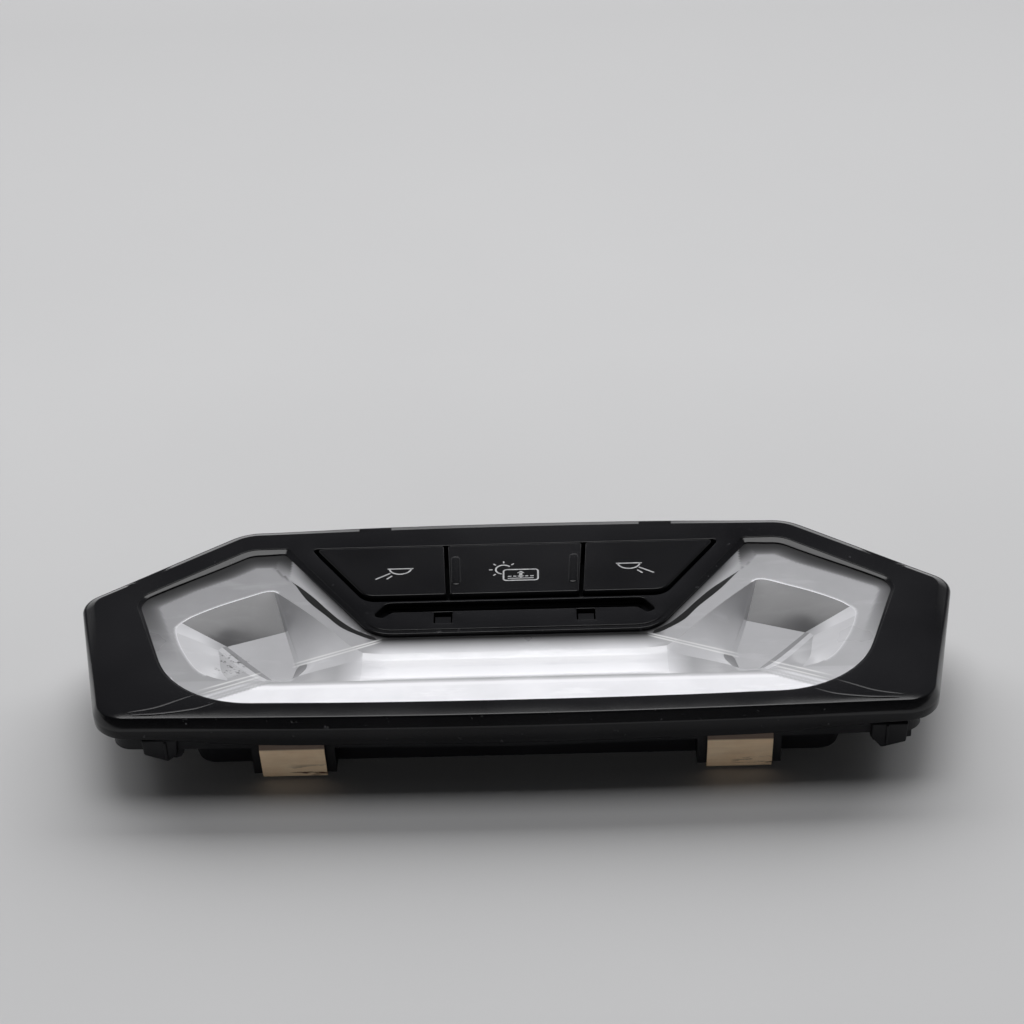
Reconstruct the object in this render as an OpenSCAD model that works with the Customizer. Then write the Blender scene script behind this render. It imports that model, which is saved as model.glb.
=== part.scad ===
// Overhead console light for a car roof, laid face up as it is seen on a bench.
// +X runs along the lamp, +Y towards its far long edge, +Z out of the visible face.
// The origin is the centre of the resting plane under the rear housing.

/* [Bezel] */
// Overall width of the bezel
bezel_w = 219; // [214:1:226]
// Overall depth of the bezel
bezel_d = 83.5; // [82:0.5:86]
// Height of the button panel above the resting plane
face_z = 21; // [20.8:0.1:22.5]
// Height of the rim, from the panel face to the edge that meets the roof lining
rim_h = 7; // [6:0.5:8]
// Thickness of the bezel's side walls
bezel_wall = 2; // [1.6:0.1:2.4]
// Thickness of the button panel
panel_t = 2.3; // [2:0.1:2.6]
// Width of the rounded edge all round the face
edge_r = 0.9; // [0.6:0.1:1.2]
// Extra width of the sloping band along the middle of the near edge
near_band = 0.8; // [0.2:0.1:1.2]
// Width of the far long edge between its two corners
far_w = 143; // [138:1:148]
// Width of the near long edge between its two corners
near_w = 196; // [190:1:200]
// How far the widest corners lie behind the middle of the bezel
wide_y = 10.5; // [9:0.5:12]
// How far the long edges bow outwards in the middle
edge_bow = 1.4; // [0.8:0.1:2]

/* [Lens] */
// How far the clear lens lies below the panel face
lens_sink = 0.8; // [0.6:0.1:1]
// Thickness of the lens plate
lens_t = 2.8; // [2.6:0.1:3.2]
// Wall of the two lamp bowls
bowl_wall = 1.5; // [1.2:0.1:1.8]
// Depth of the two lamp bowls
bowl_depth = 6; // [5:0.25:6]
// Width of the middle trough
trough_w = 9.3; // [8:0.1:10]
// Depth of the middle trough
trough_depth = 2.6; // [2:0.1:3]
// Number of flutes in the floor of the trough
flutes = 5; // [3:1:7]

/* [Keys] */
// Clearance round the keys
key_gap = 0.7; // [0.5:0.1:0.9]
// How far the keys stand proud of the panel
key_proud = 0.7; // [0.4:0.1:0.9]
// Depth of the key opening, from near edge to far edge
keys_d = 23; // [21:0.5:23]
// Depth of the bar between the keys and the lens
bar_d = 14; // [13.5:0.1:14.5]
// Width of the middle key at its centre line
mid_key_w = 34.6; // [32:0.2:38]
// Wall of the hollow keys
key_wall = 1.5; // [1.2:0.1:1.8]
// How far a reading lamp key travels
key_travel = 0.8; // [0.5:0.1:0.9]
// Radius of the rocker key's pivot pin
pivot_r = 1.2; // [1:0.1:1.4]
// How far the switches stand from the rocker's pivot
rocker_arm = 5; // [4.6:0.1:5.2]

/* [Rear housing] */
// How far the upper housing lies inside the bezel's rim
housing_inset = 4; // [3.6:0.2:4.6]
// Wall of the rear housing
housing_wall = 1.6; // [1.2:0.1:2]
// Height of the lower tray
tray_h = 9; // [8.8:0.1:9.4]
// How far the tray's widest corners stand inside the bezel's
tray_side = 19; // [18:0.5:20]
// How far the tray's near wall stands behind the bezel's near edge
tray_back = 11.5; // [11:0.1:12]
// How far the tray's far wall stands in front of the bezel's far edge
tray_front = 12; // [11.8:0.1:13]

/* [Clips and hooks] */
// Width of a spring clip
clip_w = 15.4; // [13:0.2:17]
// Distance from the middle of the lamp to the middle of each clip
clip_x = 52.9; // [48:0.5:58]
// Thickness of the clips' sheet metal
clip_t = 0.5; // [0.4:0.05:0.7]
// Width of a locating hook
hook_w = 9.6; // [7:0.2:11]

/* [Electrics] */
// Thickness of the circuit board
board_t = 1.6; // [1.2:0.1:1.8]
// Number of contacts in the plug socket
contacts = 6; // [4:1:8]
// Pitch of the contacts
contact_pitch = 2.2; // [2:0.1:2.5]
// Number of light sources under the middle trough
bar_leds = 5; // [3:1:7]

/* [Hidden] */
arc_steps = 8;
eps = 0.01;
gap = 0.3;

// Levels, upwards from the resting plane
panel_under = face_z - panel_t;
rim_low = face_z - rim_h;
frame_drop = [0.4, 0.9, 1.3, 1.1, 0.7];
frame_under = face_z - max(frame_drop) - bezel_wall;
lens_top = face_z - lens_sink;
lens_low = lens_top - lens_t;
bowl_floor = lens_top - bowl_depth;
lens_lip = 1.8;
ledge_z = tray_h + housing_wall;
reflector_t = 1.2;
reflector_top = ledge_z + reflector_t;
board_low = 6.2;
board_top = board_low + board_t;
guide_low = reflector_top + 1.2;
guide_t = 1.4;
guide_top = guide_low + guide_t;
key_top = face_z + key_proud;

// Outlines: corners of the +X half, from the near middle anticlockwise to the far middle.
// Each corner is [x, y, radius]; the other half is their mirror image.
far_y = bezel_d / 2;
near_y = -bezel_d / 2;
bow_r = 300;
rim_half = [
    [0, near_y, bow_r],
    [near_w / 2 + edge_r / 2, near_y + edge_bow + near_band, 9],
    [bezel_w / 2 + 0.94, wide_y, 7],
    [far_w / 2 + edge_r / 2, far_y - edge_bow, 13],
    [0, far_y, bow_r]];
// The face's edge lies inside the rim by the rounded edge, and further in along the near band
face_half = [for (i = [0 : 4])
    let (p = inset(whole(rim_half), edge_r)[i])
    [p.x, p.y + (i == 0 ? near_band : 0), max(p.z, 1)]];

// The clear lens is a wide U round the button panel
keys_far = far_y - 11.7;
keys_near = keys_far - keys_d;
lobe_y = far_y - 11.4;
lens_near = near_y + 6.3;
panel_near = keys_near - bar_d;
panel_corner_x = 34.5;
lobe_in_x = 59.3;
lens_d = panel_near - lens_near;
trough_y = lens_near + lens_d / 2 + 0.75;
trough_half = bezel_w / 2 - 72.5;
bowl_x = bezel_w / 2 - 43.3;
bowl_y = trough_y + 13.35;
aperture_half = [
    [0, lens_near, bow_r],
    [near_w / 2 - 17.5, lens_near + 1.6, 29],
    [bezel_w / 2 - 13.3, wide_y - 1.3, 5],
    [far_w / 2 - 2, lobe_y, 10],
    [lobe_in_x, lobe_y, 3],
    [panel_corner_x, panel_near, 12]];
// The crown of the frame runs round the lens and behind the keys
crown_half = [
    [0, lens_near - 0.7, bow_r],
    [near_w / 2 - 16.4, lens_near + 0.7, 28],
    [bezel_w / 2 - 12.2, wide_y - 1, 6],
    [far_w / 2 - 1.6, lobe_y + 1, 11],
    [0, lobe_y + 1.6, bow_r]];

// Keys
keys_mid = (keys_far + keys_near) / 2;
keys_top_x = 53.4;
keys_low_x = 38.6;
key_split_lean = 0.075;
key_low = guide_top + key_travel + 0.7;
post_r = 2;
split_x = mid_key_w / 2 + key_gap / 2;

// Bowls of the reading lamps, for the +X side
bowl_rim = [
    [trough_half - 2, trough_y - trough_w / 2 + 0.1, 1.5],
    [bowl_x + 9.8, trough_y - 3.9, 13],
    [bowl_x + 19.6, bowl_y + 4.4, 5],
    [bowl_x - 4.4, bowl_y + 20.6, 3.5],
    [trough_half - 1, trough_y + trough_w / 2 - 0.1, 9]];
bowl_window = [
    [bowl_x - 10.7, bowl_y - 6.5, 1.5],
    [bowl_x - 4.2, bowl_y - 8.6, 2],
    [bowl_x + 7.3, bowl_y + 4.3, 1],
    [bowl_x - 7.8, bowl_y + 10.3, 1],
    [bowl_x - 11.6, bowl_y - 4, 1]];
lamp_x = bowl_x - 4.7;
lamp_y = bowl_y + 1.4;

// Rear housing
tray_near = near_y + tray_back;
tray_far = far_y - tray_front;
tray_half = [
    [bezel_w / 2 - tray_side - 14.5, tray_near, 5],
    [bezel_w / 2 - tray_side, wide_y - 7.5, 7],
    [far_w / 2 - 11.5, tray_far, 8]];
screw_places = [[near_w / 2 - 12, near_y + 12.1], [bezel_w / 2 - 10.4, wide_y - 6.3], [38, far_y - 8.6]];
screw_r = 1.25;
boss_r = 2.2;
head_r = 2.5;

// Clips, hooks, socket
clip_face = far_y - housing_inset - 0.7;
clip_crest = far_y - 2.9;
hook_places = [13.8 - near_w / 2, near_w / 2 - 9.1];
hook_low = 5.4;
socket_w = contacts * contact_pitch + 5.6;
socket_h = tray_h - housing_wall;
socket_far = tray_far + 3.5;
socket_x = -16.5;
socket_wall = 1;

// Unit vector along v
function unit(v) = v / norm(v);

// Vector v turned a quarter anticlockwise
function quarter(v) = [-v.y, v.x];

function flat(p) = [p.x, p.y];

// A half outline and its mirror image as one closed, anticlockwise outline
function whole(half) = concat(half,
    [for (i = [len(half) - 1 : -1 : 0]) if (half[i].x > eps) [-half[i].x, half[i].y, half[i].z]]);

// A right-hand outline turned into the left-hand one
function other_side(pts) = [for (i = [len(pts) - 1 : -1 : 0]) [-pts[i].x, pts[i].y, pts[i].z]];

// Positive where corner i of an anticlockwise outline bulges outwards
function bulge(pts, i) = let (n = len(pts),
    a = flat(pts[i]) - flat(pts[(i + n - 1) % n]), b = flat(pts[(i + 1) % n]) - flat(pts[i]))
    a.x * b.y - a.y * b.x;

// Every edge of an outline moved inwards by d, with the corner radii following it
function inset(pts, d) = let (n = len(pts)) [for (i = [0 : n - 1])
    let (a = quarter(unit(flat(pts[i]) - flat(pts[(i + n - 1) % n]))),
        b = quarter(unit(flat(pts[(i + 1) % n]) - flat(pts[i]))),
        p = flat(pts[i]) + d * (a + b) / (1 + a * b),
        r = pts[i].z + (bulge(pts, i) > 0 ? -d : d))
    [p.x, p.y, max(r, 0.3)]];

// The points of a closed outline with each corner rounded to its own radius, as [x, y, corner]
function rounded(pts, steps) = let (n = len(pts)) [for (i = [0 : n - 1])
    let (q = flat(pts[i]),
        back = flat(pts[(i + n - 1) % n]) - q, on = flat(pts[(i + 1) % n]) - q,
        half = acos(max(-1, min(1, unit(back) * unit(on)))) / 2,
        room = 0.49 * min(norm(back), norm(on)) * tan(half),
        r = min(pts[i].z, room),
        centre = q + unit(unit(back) + unit(on)) * r / sin(half),
        start = q + unit(back) * r / tan(half) - centre,
        turn = (bulge(pts, i) > 0 ? 1 : -1) * (180 - 2 * half),
        parts = abs(turn) < 6 ? 2 : steps)
    for (k = [0 : parts]) let (a = turn * k / parts)
        [centre.x + start.x * cos(a) - start.y * sin(a),
            centre.y + start.x * sin(a) + start.y * cos(a), i]];

function smooth(pts, steps = arc_steps) = [for (p = rounded(pts, steps)) flat(p)];

// The points of an outline at one height
function ring(pts, z) = [for (p = smooth(pts)) [p.x, p.y, z]];

// The points of a whole half-outline whose five corner heights are listed
function frame_ring(half, heights) = let (n = len(half),
    list = concat(heights, [for (i = [n - 2 : -1 : 1]) heights[i]]))
    [for (p = rounded(whole(half), arc_steps)) [p.x, p.y, list[p.z]]];

// A closed solid through rings of equally many points, lowest first
module loft(rings) {
    n = len(rings[0]);
    m = len(rings);
    sides = [for (j = [0 : m - 2]) for (i = [0 : n - 1])
        let (a = j * n + i, b = j * n + (i + 1) % n)
        each [[a, a + n, b], [b, a + n, b + n]]];
    polyhedron(
        points = [for (r = rings) each r],
        faces = concat([[for (i = [0 : n - 1]) i]], sides,
            [[for (i = [n - 1 : -1 : 0]) (m - 1) * n + i]]),
        convexity = 8);
}

// A prism on an outline between two heights
module slab(pts, low, high) {
    translate([0, 0, low]) linear_extrude(high - low) polygon(smooth(pts));
}

// A rod along Z between two heights
module rod(x, y, low, high, r) {
    translate([x, y, low]) cylinder(h = high - low, r = r, $fn = 48);
}

// A block between two opposite corners
module block(a, b) {
    translate(a) cube(b - a);
}

// Children at the right-hand place and mirrored to the left
module both_sides() {
    children();
    mirror([1, 0, 0]) children();
}

module key_opening(grow = 0) {
    half = [[keys_low_x, keys_near, 7], [keys_top_x, keys_far, 1]];
    slab(inset(whole(half), -grow), panel_under - 1, key_top + 1);
}

// The slot under the keys, with its two ends turned towards the lens
module light_slot() {
    slot_far = keys_near - 0.8;
    slot_near = slot_far - 3;
    slot_x = panel_corner_x - 4.1;
    block([-slot_x - 0.6, slot_near, panel_under - 1], [slot_x + 0.6, slot_far, face_z + 1]);
    both_sides() {
        slab([[slot_x, slot_near, 0.3], [slot_x + 3, slot_near - 3.6, 0.6],
            [slot_x + 4.6, slot_near - 2.6, 0.6], [slot_x + 1.2, slot_far, 0.8], [slot_x, slot_far, 0.3]], panel_under - 1, face_z + 1);
    }
}

// The windows that the switch frame's two snap hooks latch in
window_in = 15.4;
window_out = 20.1;
window_near = panel_near + 2.7;
window_far = window_near + 6;
ledge = 1.6;
module snap_windows() {
    both_sides() {
        block([window_in, window_near, face_z - 1.2], [window_out, window_far, face_z + 1]);
        block([window_in, window_near + ledge, panel_under - 1],
            [window_out, window_far, face_z]);
    }
}

module screw_holes(r, low, high) {
    both_sides() for (p = screw_places) rod(p.x, p.y, low, high, r);
}

module bezel() {
    color([0.05, 0.05, 0.055]) {
        difference() {
            loft([
                frame_ring(rim_half, [for (d = frame_drop) rim_low]),
                frame_ring(rim_half, [for (i = [0 : 4])
                    face_z - frame_drop[i] - edge_r - (i == 0 ? near_band * 0.8 : 0)]),
                frame_ring([for (i = [0 : 4]) (rim_half[i] * 0.3 + face_half[i] * 0.7)],
                    [for (d = frame_drop) face_z - d - edge_r * 0.3]),
                frame_ring(face_half, [for (d = frame_drop) face_z - d]),
                frame_ring(crown_half, [for (d = frame_drop) face_z])]);
            slab(inset(whole(rim_half), bezel_wall), rim_low - 1, frame_under);
            slab(inset(whole(crown_half), 0.5), frame_under - 1, panel_under);
            slab(inset(whole(aperture_half), -lens_lip - gap), frame_under - 1, panel_under);
            slab(whole(aperture_half), panel_under - 1, face_z + 1);
            slab(inset(whole(aperture_half), -0.4), face_z - 0.4, face_z + 1);
            key_opening();
            light_slot();
            snap_windows();
        }
        difference() {
            screw_holes(boss_r, ledge_z, frame_under + eps);
            screw_holes(screw_r, ledge_z - 1, frame_under - 1);
        }
    }
}

// The floor of the trough: a shallow arc with flutes running along it
function trough_profile(extra, lower) = let (steps = 40, w = trough_w / 2 + extra) [
    for (i = [0 : steps]) let (t = -1 + 2 * i / steps,
        wave = lower > 0 ? 0 : 0.22 * (1 - cos(360 * flutes * (t + 1) / 2)) * (1 - t * t))
    [w * t, -(trough_depth + lower) * sqrt(1 - 0.97 * t * t) + wave]];

module trough(extra, lower, top) {
    profile = concat(trough_profile(extra, lower),
        [[trough_w / 2 + extra, top], [-trough_w / 2 - extra, top]]);
    translate([-trough_half - extra, trough_y, lens_top]) rotate([90, 0, 90])
        linear_extrude(2 * (trough_half + extra)) polygon(profile);
}

module bowl(grow, top, floor_z, grow_low) {
    loft([ring(inset(bowl_window, -grow_low), floor_z), ring(inset(bowl_rim, -grow), top)]);
}

module lens() {
    color([0.85, 0.87, 0.9, 0.5]) difference() {
        union() {
            slab(inset(whole(aperture_half), 0.15), lens_low, lens_top);
            slab(inset(whole(aperture_half), -lens_lip), frame_under, panel_under);
            both_sides() bowl(bowl_wall, lens_low + eps, bowl_floor - bowl_wall, bowl_wall);
            intersection() {
                trough(bowl_wall, bowl_wall, -lens_t / 2);
                slab(inset(whole(aperture_half), 1), bowl_floor, lens_low + 1);
            }
        }
        both_sides() bowl(0, lens_top + eps, bowl_floor, 0);
        trough(0, 0, 1);
    }
}

// The satin tray behind the lens, with a light barrier between each bowl and the middle
module reflector() {
    wall = 1.2;
    outline = inset(whole(aperture_half), 0.6);
    barrier_top = reflector_top + 0.5;
    color([0.7, 0.71, 0.73]) difference() {
        union() {
            difference() {
                slab(outline, ledge_z, lens_low);
                slab(inset(outline, wall), reflector_top, lens_low + 1);
            }
            both_sides() intersection() {
                translate([panel_corner_x - 2, panel_near - 1, ledge_z]) rotate([0, 0, -23.4])
                    block([0, -0.6, 0], [52, 0.6, barrier_top - ledge_z]);
                slab(outline, ledge_z, lens_low);
            }
        }
        both_sides() rod(lamp_x, lamp_y, ledge_z - 1, lens_top, collimator_r + gap);
        block([-trough_half, trough_y - guide_foot / 2 - gap, ledge_z - 1],
            [trough_half, trough_y + guide_foot / 2 + gap, lens_low]);
    }
}

collimator_r = 6.5;
guide_foot = 2;
led_h = 1;

// The solid optic that spreads the light of one reading lamp
module collimator(side) {
    foot = board_top + led_h + gap;
    top = bowl_floor - bowl_wall - gap;
    color([0.9, 0.92, 0.95, 0.6]) translate([side * lamp_x, lamp_y, foot]) {
        cylinder(h = reflector_top - foot - 1, r1 = 3, r2 = collimator_r, $fn = 64);
        translate([0, 0, reflector_top - foot - 1])
            cylinder(h = top - reflector_top + 1, r = collimator_r, $fn = 64);
    }
}

// The milky rod that lights the trough, with a foot that reaches towards the board
module light_guide_bar() {
    top = lens_top - trough_depth - bowl_wall - gap;
    color([0.93, 0.94, 0.95]) {
        block([-trough_half + 2, trough_y - 4, reflector_top], [trough_half - 2, trough_y + 4, top]);
        block([-trough_half + 2, trough_y - guide_foot / 2, board_top + led_h + gap],
            [trough_half - 2, trough_y + guide_foot / 2, reflector_top + eps]);
    }
}

// Corners of the middle key and of the right-hand key, at the panel
function lean(y) = (y - keys_mid) * key_split_lean;
function mid_key_corners() = let (near = keys_near + key_gap, far = keys_far - key_gap) [
    [-mid_key_w / 2 - lean(near), near, 0.8], [mid_key_w / 2 + lean(near), near, 0.8],
    [mid_key_w / 2 + lean(far), far, 0.8], [-mid_key_w / 2 - lean(far), far, 0.8]];
function side_key_corners() = let (near = keys_near + key_gap, far = keys_far - key_gap,
    x = mid_key_w / 2 + key_gap,
    edge = inset(whole([[keys_low_x, keys_near, 7], [keys_top_x, keys_far, 1]]), key_gap)) [
    [x + lean(near), near, 0.8], [edge[0].x, near, 6.5], [edge[1].x, far, 0.8],
    [x + lean(far), far, 0.8]];

// A hollow key with a softly rounded face and a flange that stops it under the panel
module key_cap(corners, stop_clear) {
    soft = 0.5;
    difference() {
        union() {
            slab(corners, key_low, key_top - soft);
            loft([ring(corners, key_top - soft), ring(inset(corners, soft * 0.3), key_top - soft * 0.3),
                ring(inset(corners, soft), key_top)]);
            intersection() {
                slab(inset(corners, -key_gap - 0.6), key_low, panel_under - stop_clear);
                slab([[-80, keys_near - 0.5, 1], [80, keys_near - 0.5, 1],
                    [80, keys_far + 0.5, 1], [-80, keys_far + 0.5, 1]], key_low, panel_under);
                children(0);
            }
        }
        slab(inset(corners, key_wall), key_low - 1, key_top - soft - key_wall);
    }
}

// Where the post of a reading lamp key meets its switch
post_x = mid_key_w / 2 + 15.7;

module side_key(side) {
    corners = side > 0 ? side_key_corners() : other_side(side_key_corners());
    color([0.07, 0.07, 0.075]) {
        key_cap(corners, gap)
            translate([side > 0 ? split_x + 1 : -100 - split_x - 1, -100, 0]) cube([100, 200, 40]);
        rod(side * post_x, keys_mid, stem_top, key_top - key_wall, post_r);
        both_ends() block([side * post_x - 0.6, 0, key_low], [side * post_x + 0.6,
            keys_d / 2 - key_gap - key_wall + eps, key_top - key_wall]);
    }
}

// Children to the far and near side of the keys' middle line
module both_ends() {
    translate([0, keys_mid, 0]) children();
    translate([0, keys_mid, 0]) mirror([0, 1, 0]) children();
}

pivot_z = key_low + 1.2;
finger_rib = [1.9, 12, 0.3];

module centre_button() {
    color([0.07, 0.07, 0.075]) difference() {
        union() {
            key_cap(mid_key_corners(), 1.2)
                translate([-mid_key_w / 2 + 0.9, -100, 0]) cube([mid_key_w - 1.8, 200, 40]);
            for (s = [-1, 1]) {
                rod(0, keys_mid + s * rocker_arm, stem_top, key_top - key_wall, post_r - 0.4);
                translate([s * (mid_key_w / 2 - 2.3), keys_mid + 0.6, key_top - eps])
                    rotate([0, 0, -s * atan(key_split_lean)]) linear_extrude(finger_rib.z)
                    pill(finger_rib.x, finger_rib.y);
                translate([s * (mid_key_w / 2 - key_wall - 1) , keys_mid, pivot_z])
                    rotate([0, 90, 0]) cylinder(h = 2, r = pivot_r + 1, center = true, $fn = 48);
            }
        }
        pin_bore(pivot_r, mid_key_w - 1.6);
    }
}

// A bar with round ends along Y
module pill(w, l) {
    polygon(smooth([[-w / 2, -l / 2, w / 2 - 0.05], [w / 2, -l / 2, w / 2 - 0.05],
        [w / 2, l / 2, w / 2 - 0.05], [-w / 2, l / 2, w / 2 - 0.05]], 6));
}

module pin_bore(r, length) {
    translate([0, keys_mid, pivot_z]) rotate([0, 90, 0])
        cylinder(h = length, r = r, center = true, $fn = 64);
}

module rocker_pin() {
    color([0.75, 0.75, 0.77]) pin_bore(pivot_r - 0.02, mid_key_w - 1.8);
}

// The guide plate under the keys, on four legs, with the pivot's bearings and two snap hooks
module switch_frame() {
    near = panel_near + 1.2;
    far = keys_far - 0.4;
    bearing_x = 8;
    plate_near = keys_low_x - 4.6;
    plate_far = keys_top_x - 3.4;
    hook_t = 1.3;
    hook_y = window_near + ledge + 0.3;
    color([0.12, 0.12, 0.13]) difference() {
        union() {
            slab([[-plate_near, near + 6, 2], [plate_near, near + 6, 2],
                [plate_far, far, 2], [-plate_far, far, 2]], guide_low, guide_top);
            both_sides() {
                for (p = [[plate_far - 8, tray_far - 6], [plate_near - 6, near + 9]])
                    rod(p.x, p.y, board_top, guide_low + eps, 1.6);
                block([window_in + 0.4, hook_y, guide_low],
                    [window_out - 0.4, hook_y + hook_t, face_z - 0.9]);
                block([window_in + 0.4, hook_y - ledge + 0.1, face_z - 1.1],
                    [window_out - 0.4, hook_y + hook_t, face_z - 0.5]);
                block([window_in + 0.4, hook_y, guide_low],
                    [window_out - 0.4, near + 8, guide_top]);
                block([bearing_x - 1.5, keys_mid - 2.4, guide_low],
                    [bearing_x + 1.5, keys_mid + 2.4, pivot_z + pivot_r + 0.9]);
            }
        }
        pin_bore(pivot_r + 0.06, 40);
        for (s = [-1, 1]) {
            rod(s * post_x, keys_mid, guide_low - 1, guide_top + 1, post_r + gap + 0.05);
            rod(0, keys_mid + s * rocker_arm, guide_low - 1, guide_top + 1, post_r + gap);
        }
    }
}

switch_h = 3.4;
switch_w = 6;
stem_r = 1.6;
well_r = stem_r + 0.7;
stem_top = board_top + switch_h + 0.7 + key_travel;
stem_low = stem_top - 2.4;

module switch_at(x, y) {
    color([0.16, 0.16, 0.17]) difference() {
        translate([x, y, board_top]) block([-switch_w / 2, -switch_w / 2, 0],
            [switch_w / 2, switch_w / 2, switch_h]);
        rod(x, y, board_top + 0.5, board_top + switch_h + 1, well_r);
    }
}

module stem_at(x, y) {
    color([0.8, 0.8, 0.78]) rod(x, y, stem_low, stem_top, stem_r);
}

// The board fills the tray, with a notch for the plug socket
module circuit_board() {
    outline = inset(whole(tray_half), housing_wall + 0.5);
    color([0.1, 0.28, 0.16]) difference() {
        slab(outline, board_low, board_top);
        translate([socket_x, tray_far, 0]) block([-socket_w / 2 - 0.4, -socket_back - 0.4, 0],
            [socket_w / 2 + 0.4, 10, 20]);
        for (p = board_posts) both_sides() rod(p.x, p.y, 0, 20, 1.1);
    }
}

board_posts = [[20, tray_near + 10.2], [66, wide_y + 3.5], [30, tray_far - 7.7]];
socket_back = 5.6;

// Driver chip, capacitors and resistors on the upper side of the board
module board_parts() {
    color([0.1, 0.1, 0.11]) translate([0, panel_near, board_top]) {
        block([15.5 - lamp_x, -3, 0], [22.5 - lamp_x, 4, 1.2]);
        block([lamp_x - 22, -2, 0], [lamp_x - 17, 3, 1.1]);
        for (i = [0 : 4]) block([-20 + 3 * i, -3, 0], [-18.4 + 3 * i, -2.2, 0.5]);
        for (i = [0 : 3]) block([12 + 3.2 * i, -4, 0], [14 + 3.2 * i, -2.8, 0.7]);
        translate([-30, 0, 0]) cylinder(h = 2.4, r = 2.2, $fn = 40);
        translate([30, -1, 0]) cylinder(h = 2.4, r = 2.2, $fn = 40);
    }
}

module reading_led(side) {
    color([0.95, 0.9, 0.55]) translate([side * lamp_x, lamp_y, board_top])
        block([-1.75, -1.75, 0], [1.75, 1.75, led_h]);
}

module bar_led_row() {
    pitch = 2 * (trough_half - 7) / (bar_leds - 1);
    color([0.95, 0.9, 0.55]) for (i = [0 : bar_leds - 1])
        translate([-trough_half + 7 + i * pitch, trough_y, board_top])
            block([-1.4, -1, 0], [1.4, 1, led_h]);
}

module symbol_leds() {
    color([0.95, 0.95, 0.9]) for (x = [7 - post_x, 4.5, post_x - 7])
        translate([x, keys_mid, board_top]) block([-0.8, -0.6, 0], [0.8, 0.6, 0.7]);
}

// The plug socket looks out of the far side of the tray
socket_low = housing_wall;
module plug_socket() {
    color([0.09, 0.09, 0.1]) difference() {
        translate([socket_x, 0, socket_low]) block([-socket_w / 2, tray_far - socket_back, 0],
            [socket_w / 2, socket_far, socket_h]);
        translate([socket_x, 0, socket_low]) block([-socket_w / 2 + socket_wall,
            tray_far - socket_back + 1.5, socket_wall],
            [socket_w / 2 - socket_wall, socket_far + 1, socket_h - socket_wall]);
        for (i = [0 : contacts - 1]) contact_pin(i, 0.001);
    }
}

contact_w = 0.64;
function contact_x(i) = socket_x + (i - (contacts - 1) / 2) * contact_pitch;
contact_z = socket_low + socket_h / 2;
module contact_pin(i, grow) {
    x = contact_x(i);
    translate([x, 0, contact_z]) block(
        [-contact_w / 2 - grow, tray_far - socket_back - 1.6, -contact_w / 2 - grow],
        [contact_w / 2 + grow, socket_far - 4.4, contact_w / 2 + grow]);
}

// Each contact comes out of the socket's back and turns up through the board's edge
module socket_contacts() {
    color([0.8, 0.72, 0.5]) for (i = [0 : contacts - 1]) {
        contact_pin(i, 0);
        translate([contact_x(i), tray_far - socket_back - 1.6, 0]) block(
            [-contact_w / 2, -eps, contact_z - contact_w / 2], [contact_w / 2, contact_w, board_low]);
    }
}

// One clip tower: a plate that the clip straddles, with two cheeks back to the tray
module clip_tower(tray_edge) {
    w = clip_w + 4.4;
    front = clip_face - 0.2;
    translate([-w / 2, 0, 0]) {
        block([0, front - 1.6, clip_low + clip_t + 0.3], [w, front, ledge_z]);
        for (x = [0, w - 1.6]) block([x, tray_edge - 1, clip_low + clip_t + 0.3],
            [x + 1.6, front, tray_h + eps]);
    }
}
clip_low = 0.9;

// A spring clip in section: a bulged outer leaf, a bend under the plate and an inner leaf
module clip() {
    front = clip_face - 0.2;
    back = front - 1.6;
    outer = [[clip_crest - 0.9, tray_h + 4.2], [clip_crest, tray_h + 1], [front + 0.9, clip_low + 1.6],
        [front + 0.3, clip_low], [back - 0.6, clip_low], [back - 1.2, clip_low + 1.2],
        [back - clip_t - 0.05, clip_low + 3], [back - 1.3, tray_h - 1.6]];
    color([0.72, 0.6, 0.46]) rotate([90, 0, 90]) translate([0, 0, -clip_w / 2])
        linear_extrude(clip_w) polygon(strip(outer, clip_t));
}

// A line of points given a thickness to its left
function strip(pts, t) = concat(pts, [for (i = [len(pts) - 1 : -1 : 0])
    let (a = unit(pts[i] - pts[max(i - 1, 0)] + (i == 0 ? pts[1] - pts[0] : [0, 0])),
        b = i == len(pts) - 1 ? a : unit(pts[i + 1] - pts[i]),
        n = (quarter(a) + quarter(b)) / (1 + quarter(a) * quarter(b)))
    pts[i] - n * t]);

module place_clip(x_sign, y_sign) {
    mirror([0, y_sign < 0 ? 1 : 0, 0]) translate([x_sign * clip_x, 0, 0]) children();
}

// Locating hook: a stepped tab with a stiffening rib and a bevelled tip
module hook(x) {
    y = near_y + housing_inset + 3;
    side = x > 0 ? 1 : -1;
    translate([x, y, 0]) rotate([90, 0, 0]) translate([0, 0, -1.8]) linear_extrude(1.8)
        polygon([[-side * hook_w / 2, tray_h + 0.4], [-side * hook_w / 2, hook_low + 1.6],
            [-side * (hook_w / 2 - 0.7), hook_low + 0.4], [-side * (hook_w / 2 - 2), hook_low],
            [side * hook_w / 2, hook_low + 1.3], [side * hook_w / 2, tray_h + 0.4]]);
    translate([x, y, 0]) block([-side * 1.4 - 0.5, -0.8, hook_low + 1], [-side * 1.4 + 0.5, 0.6, tray_h + 0.4]);
}

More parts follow.
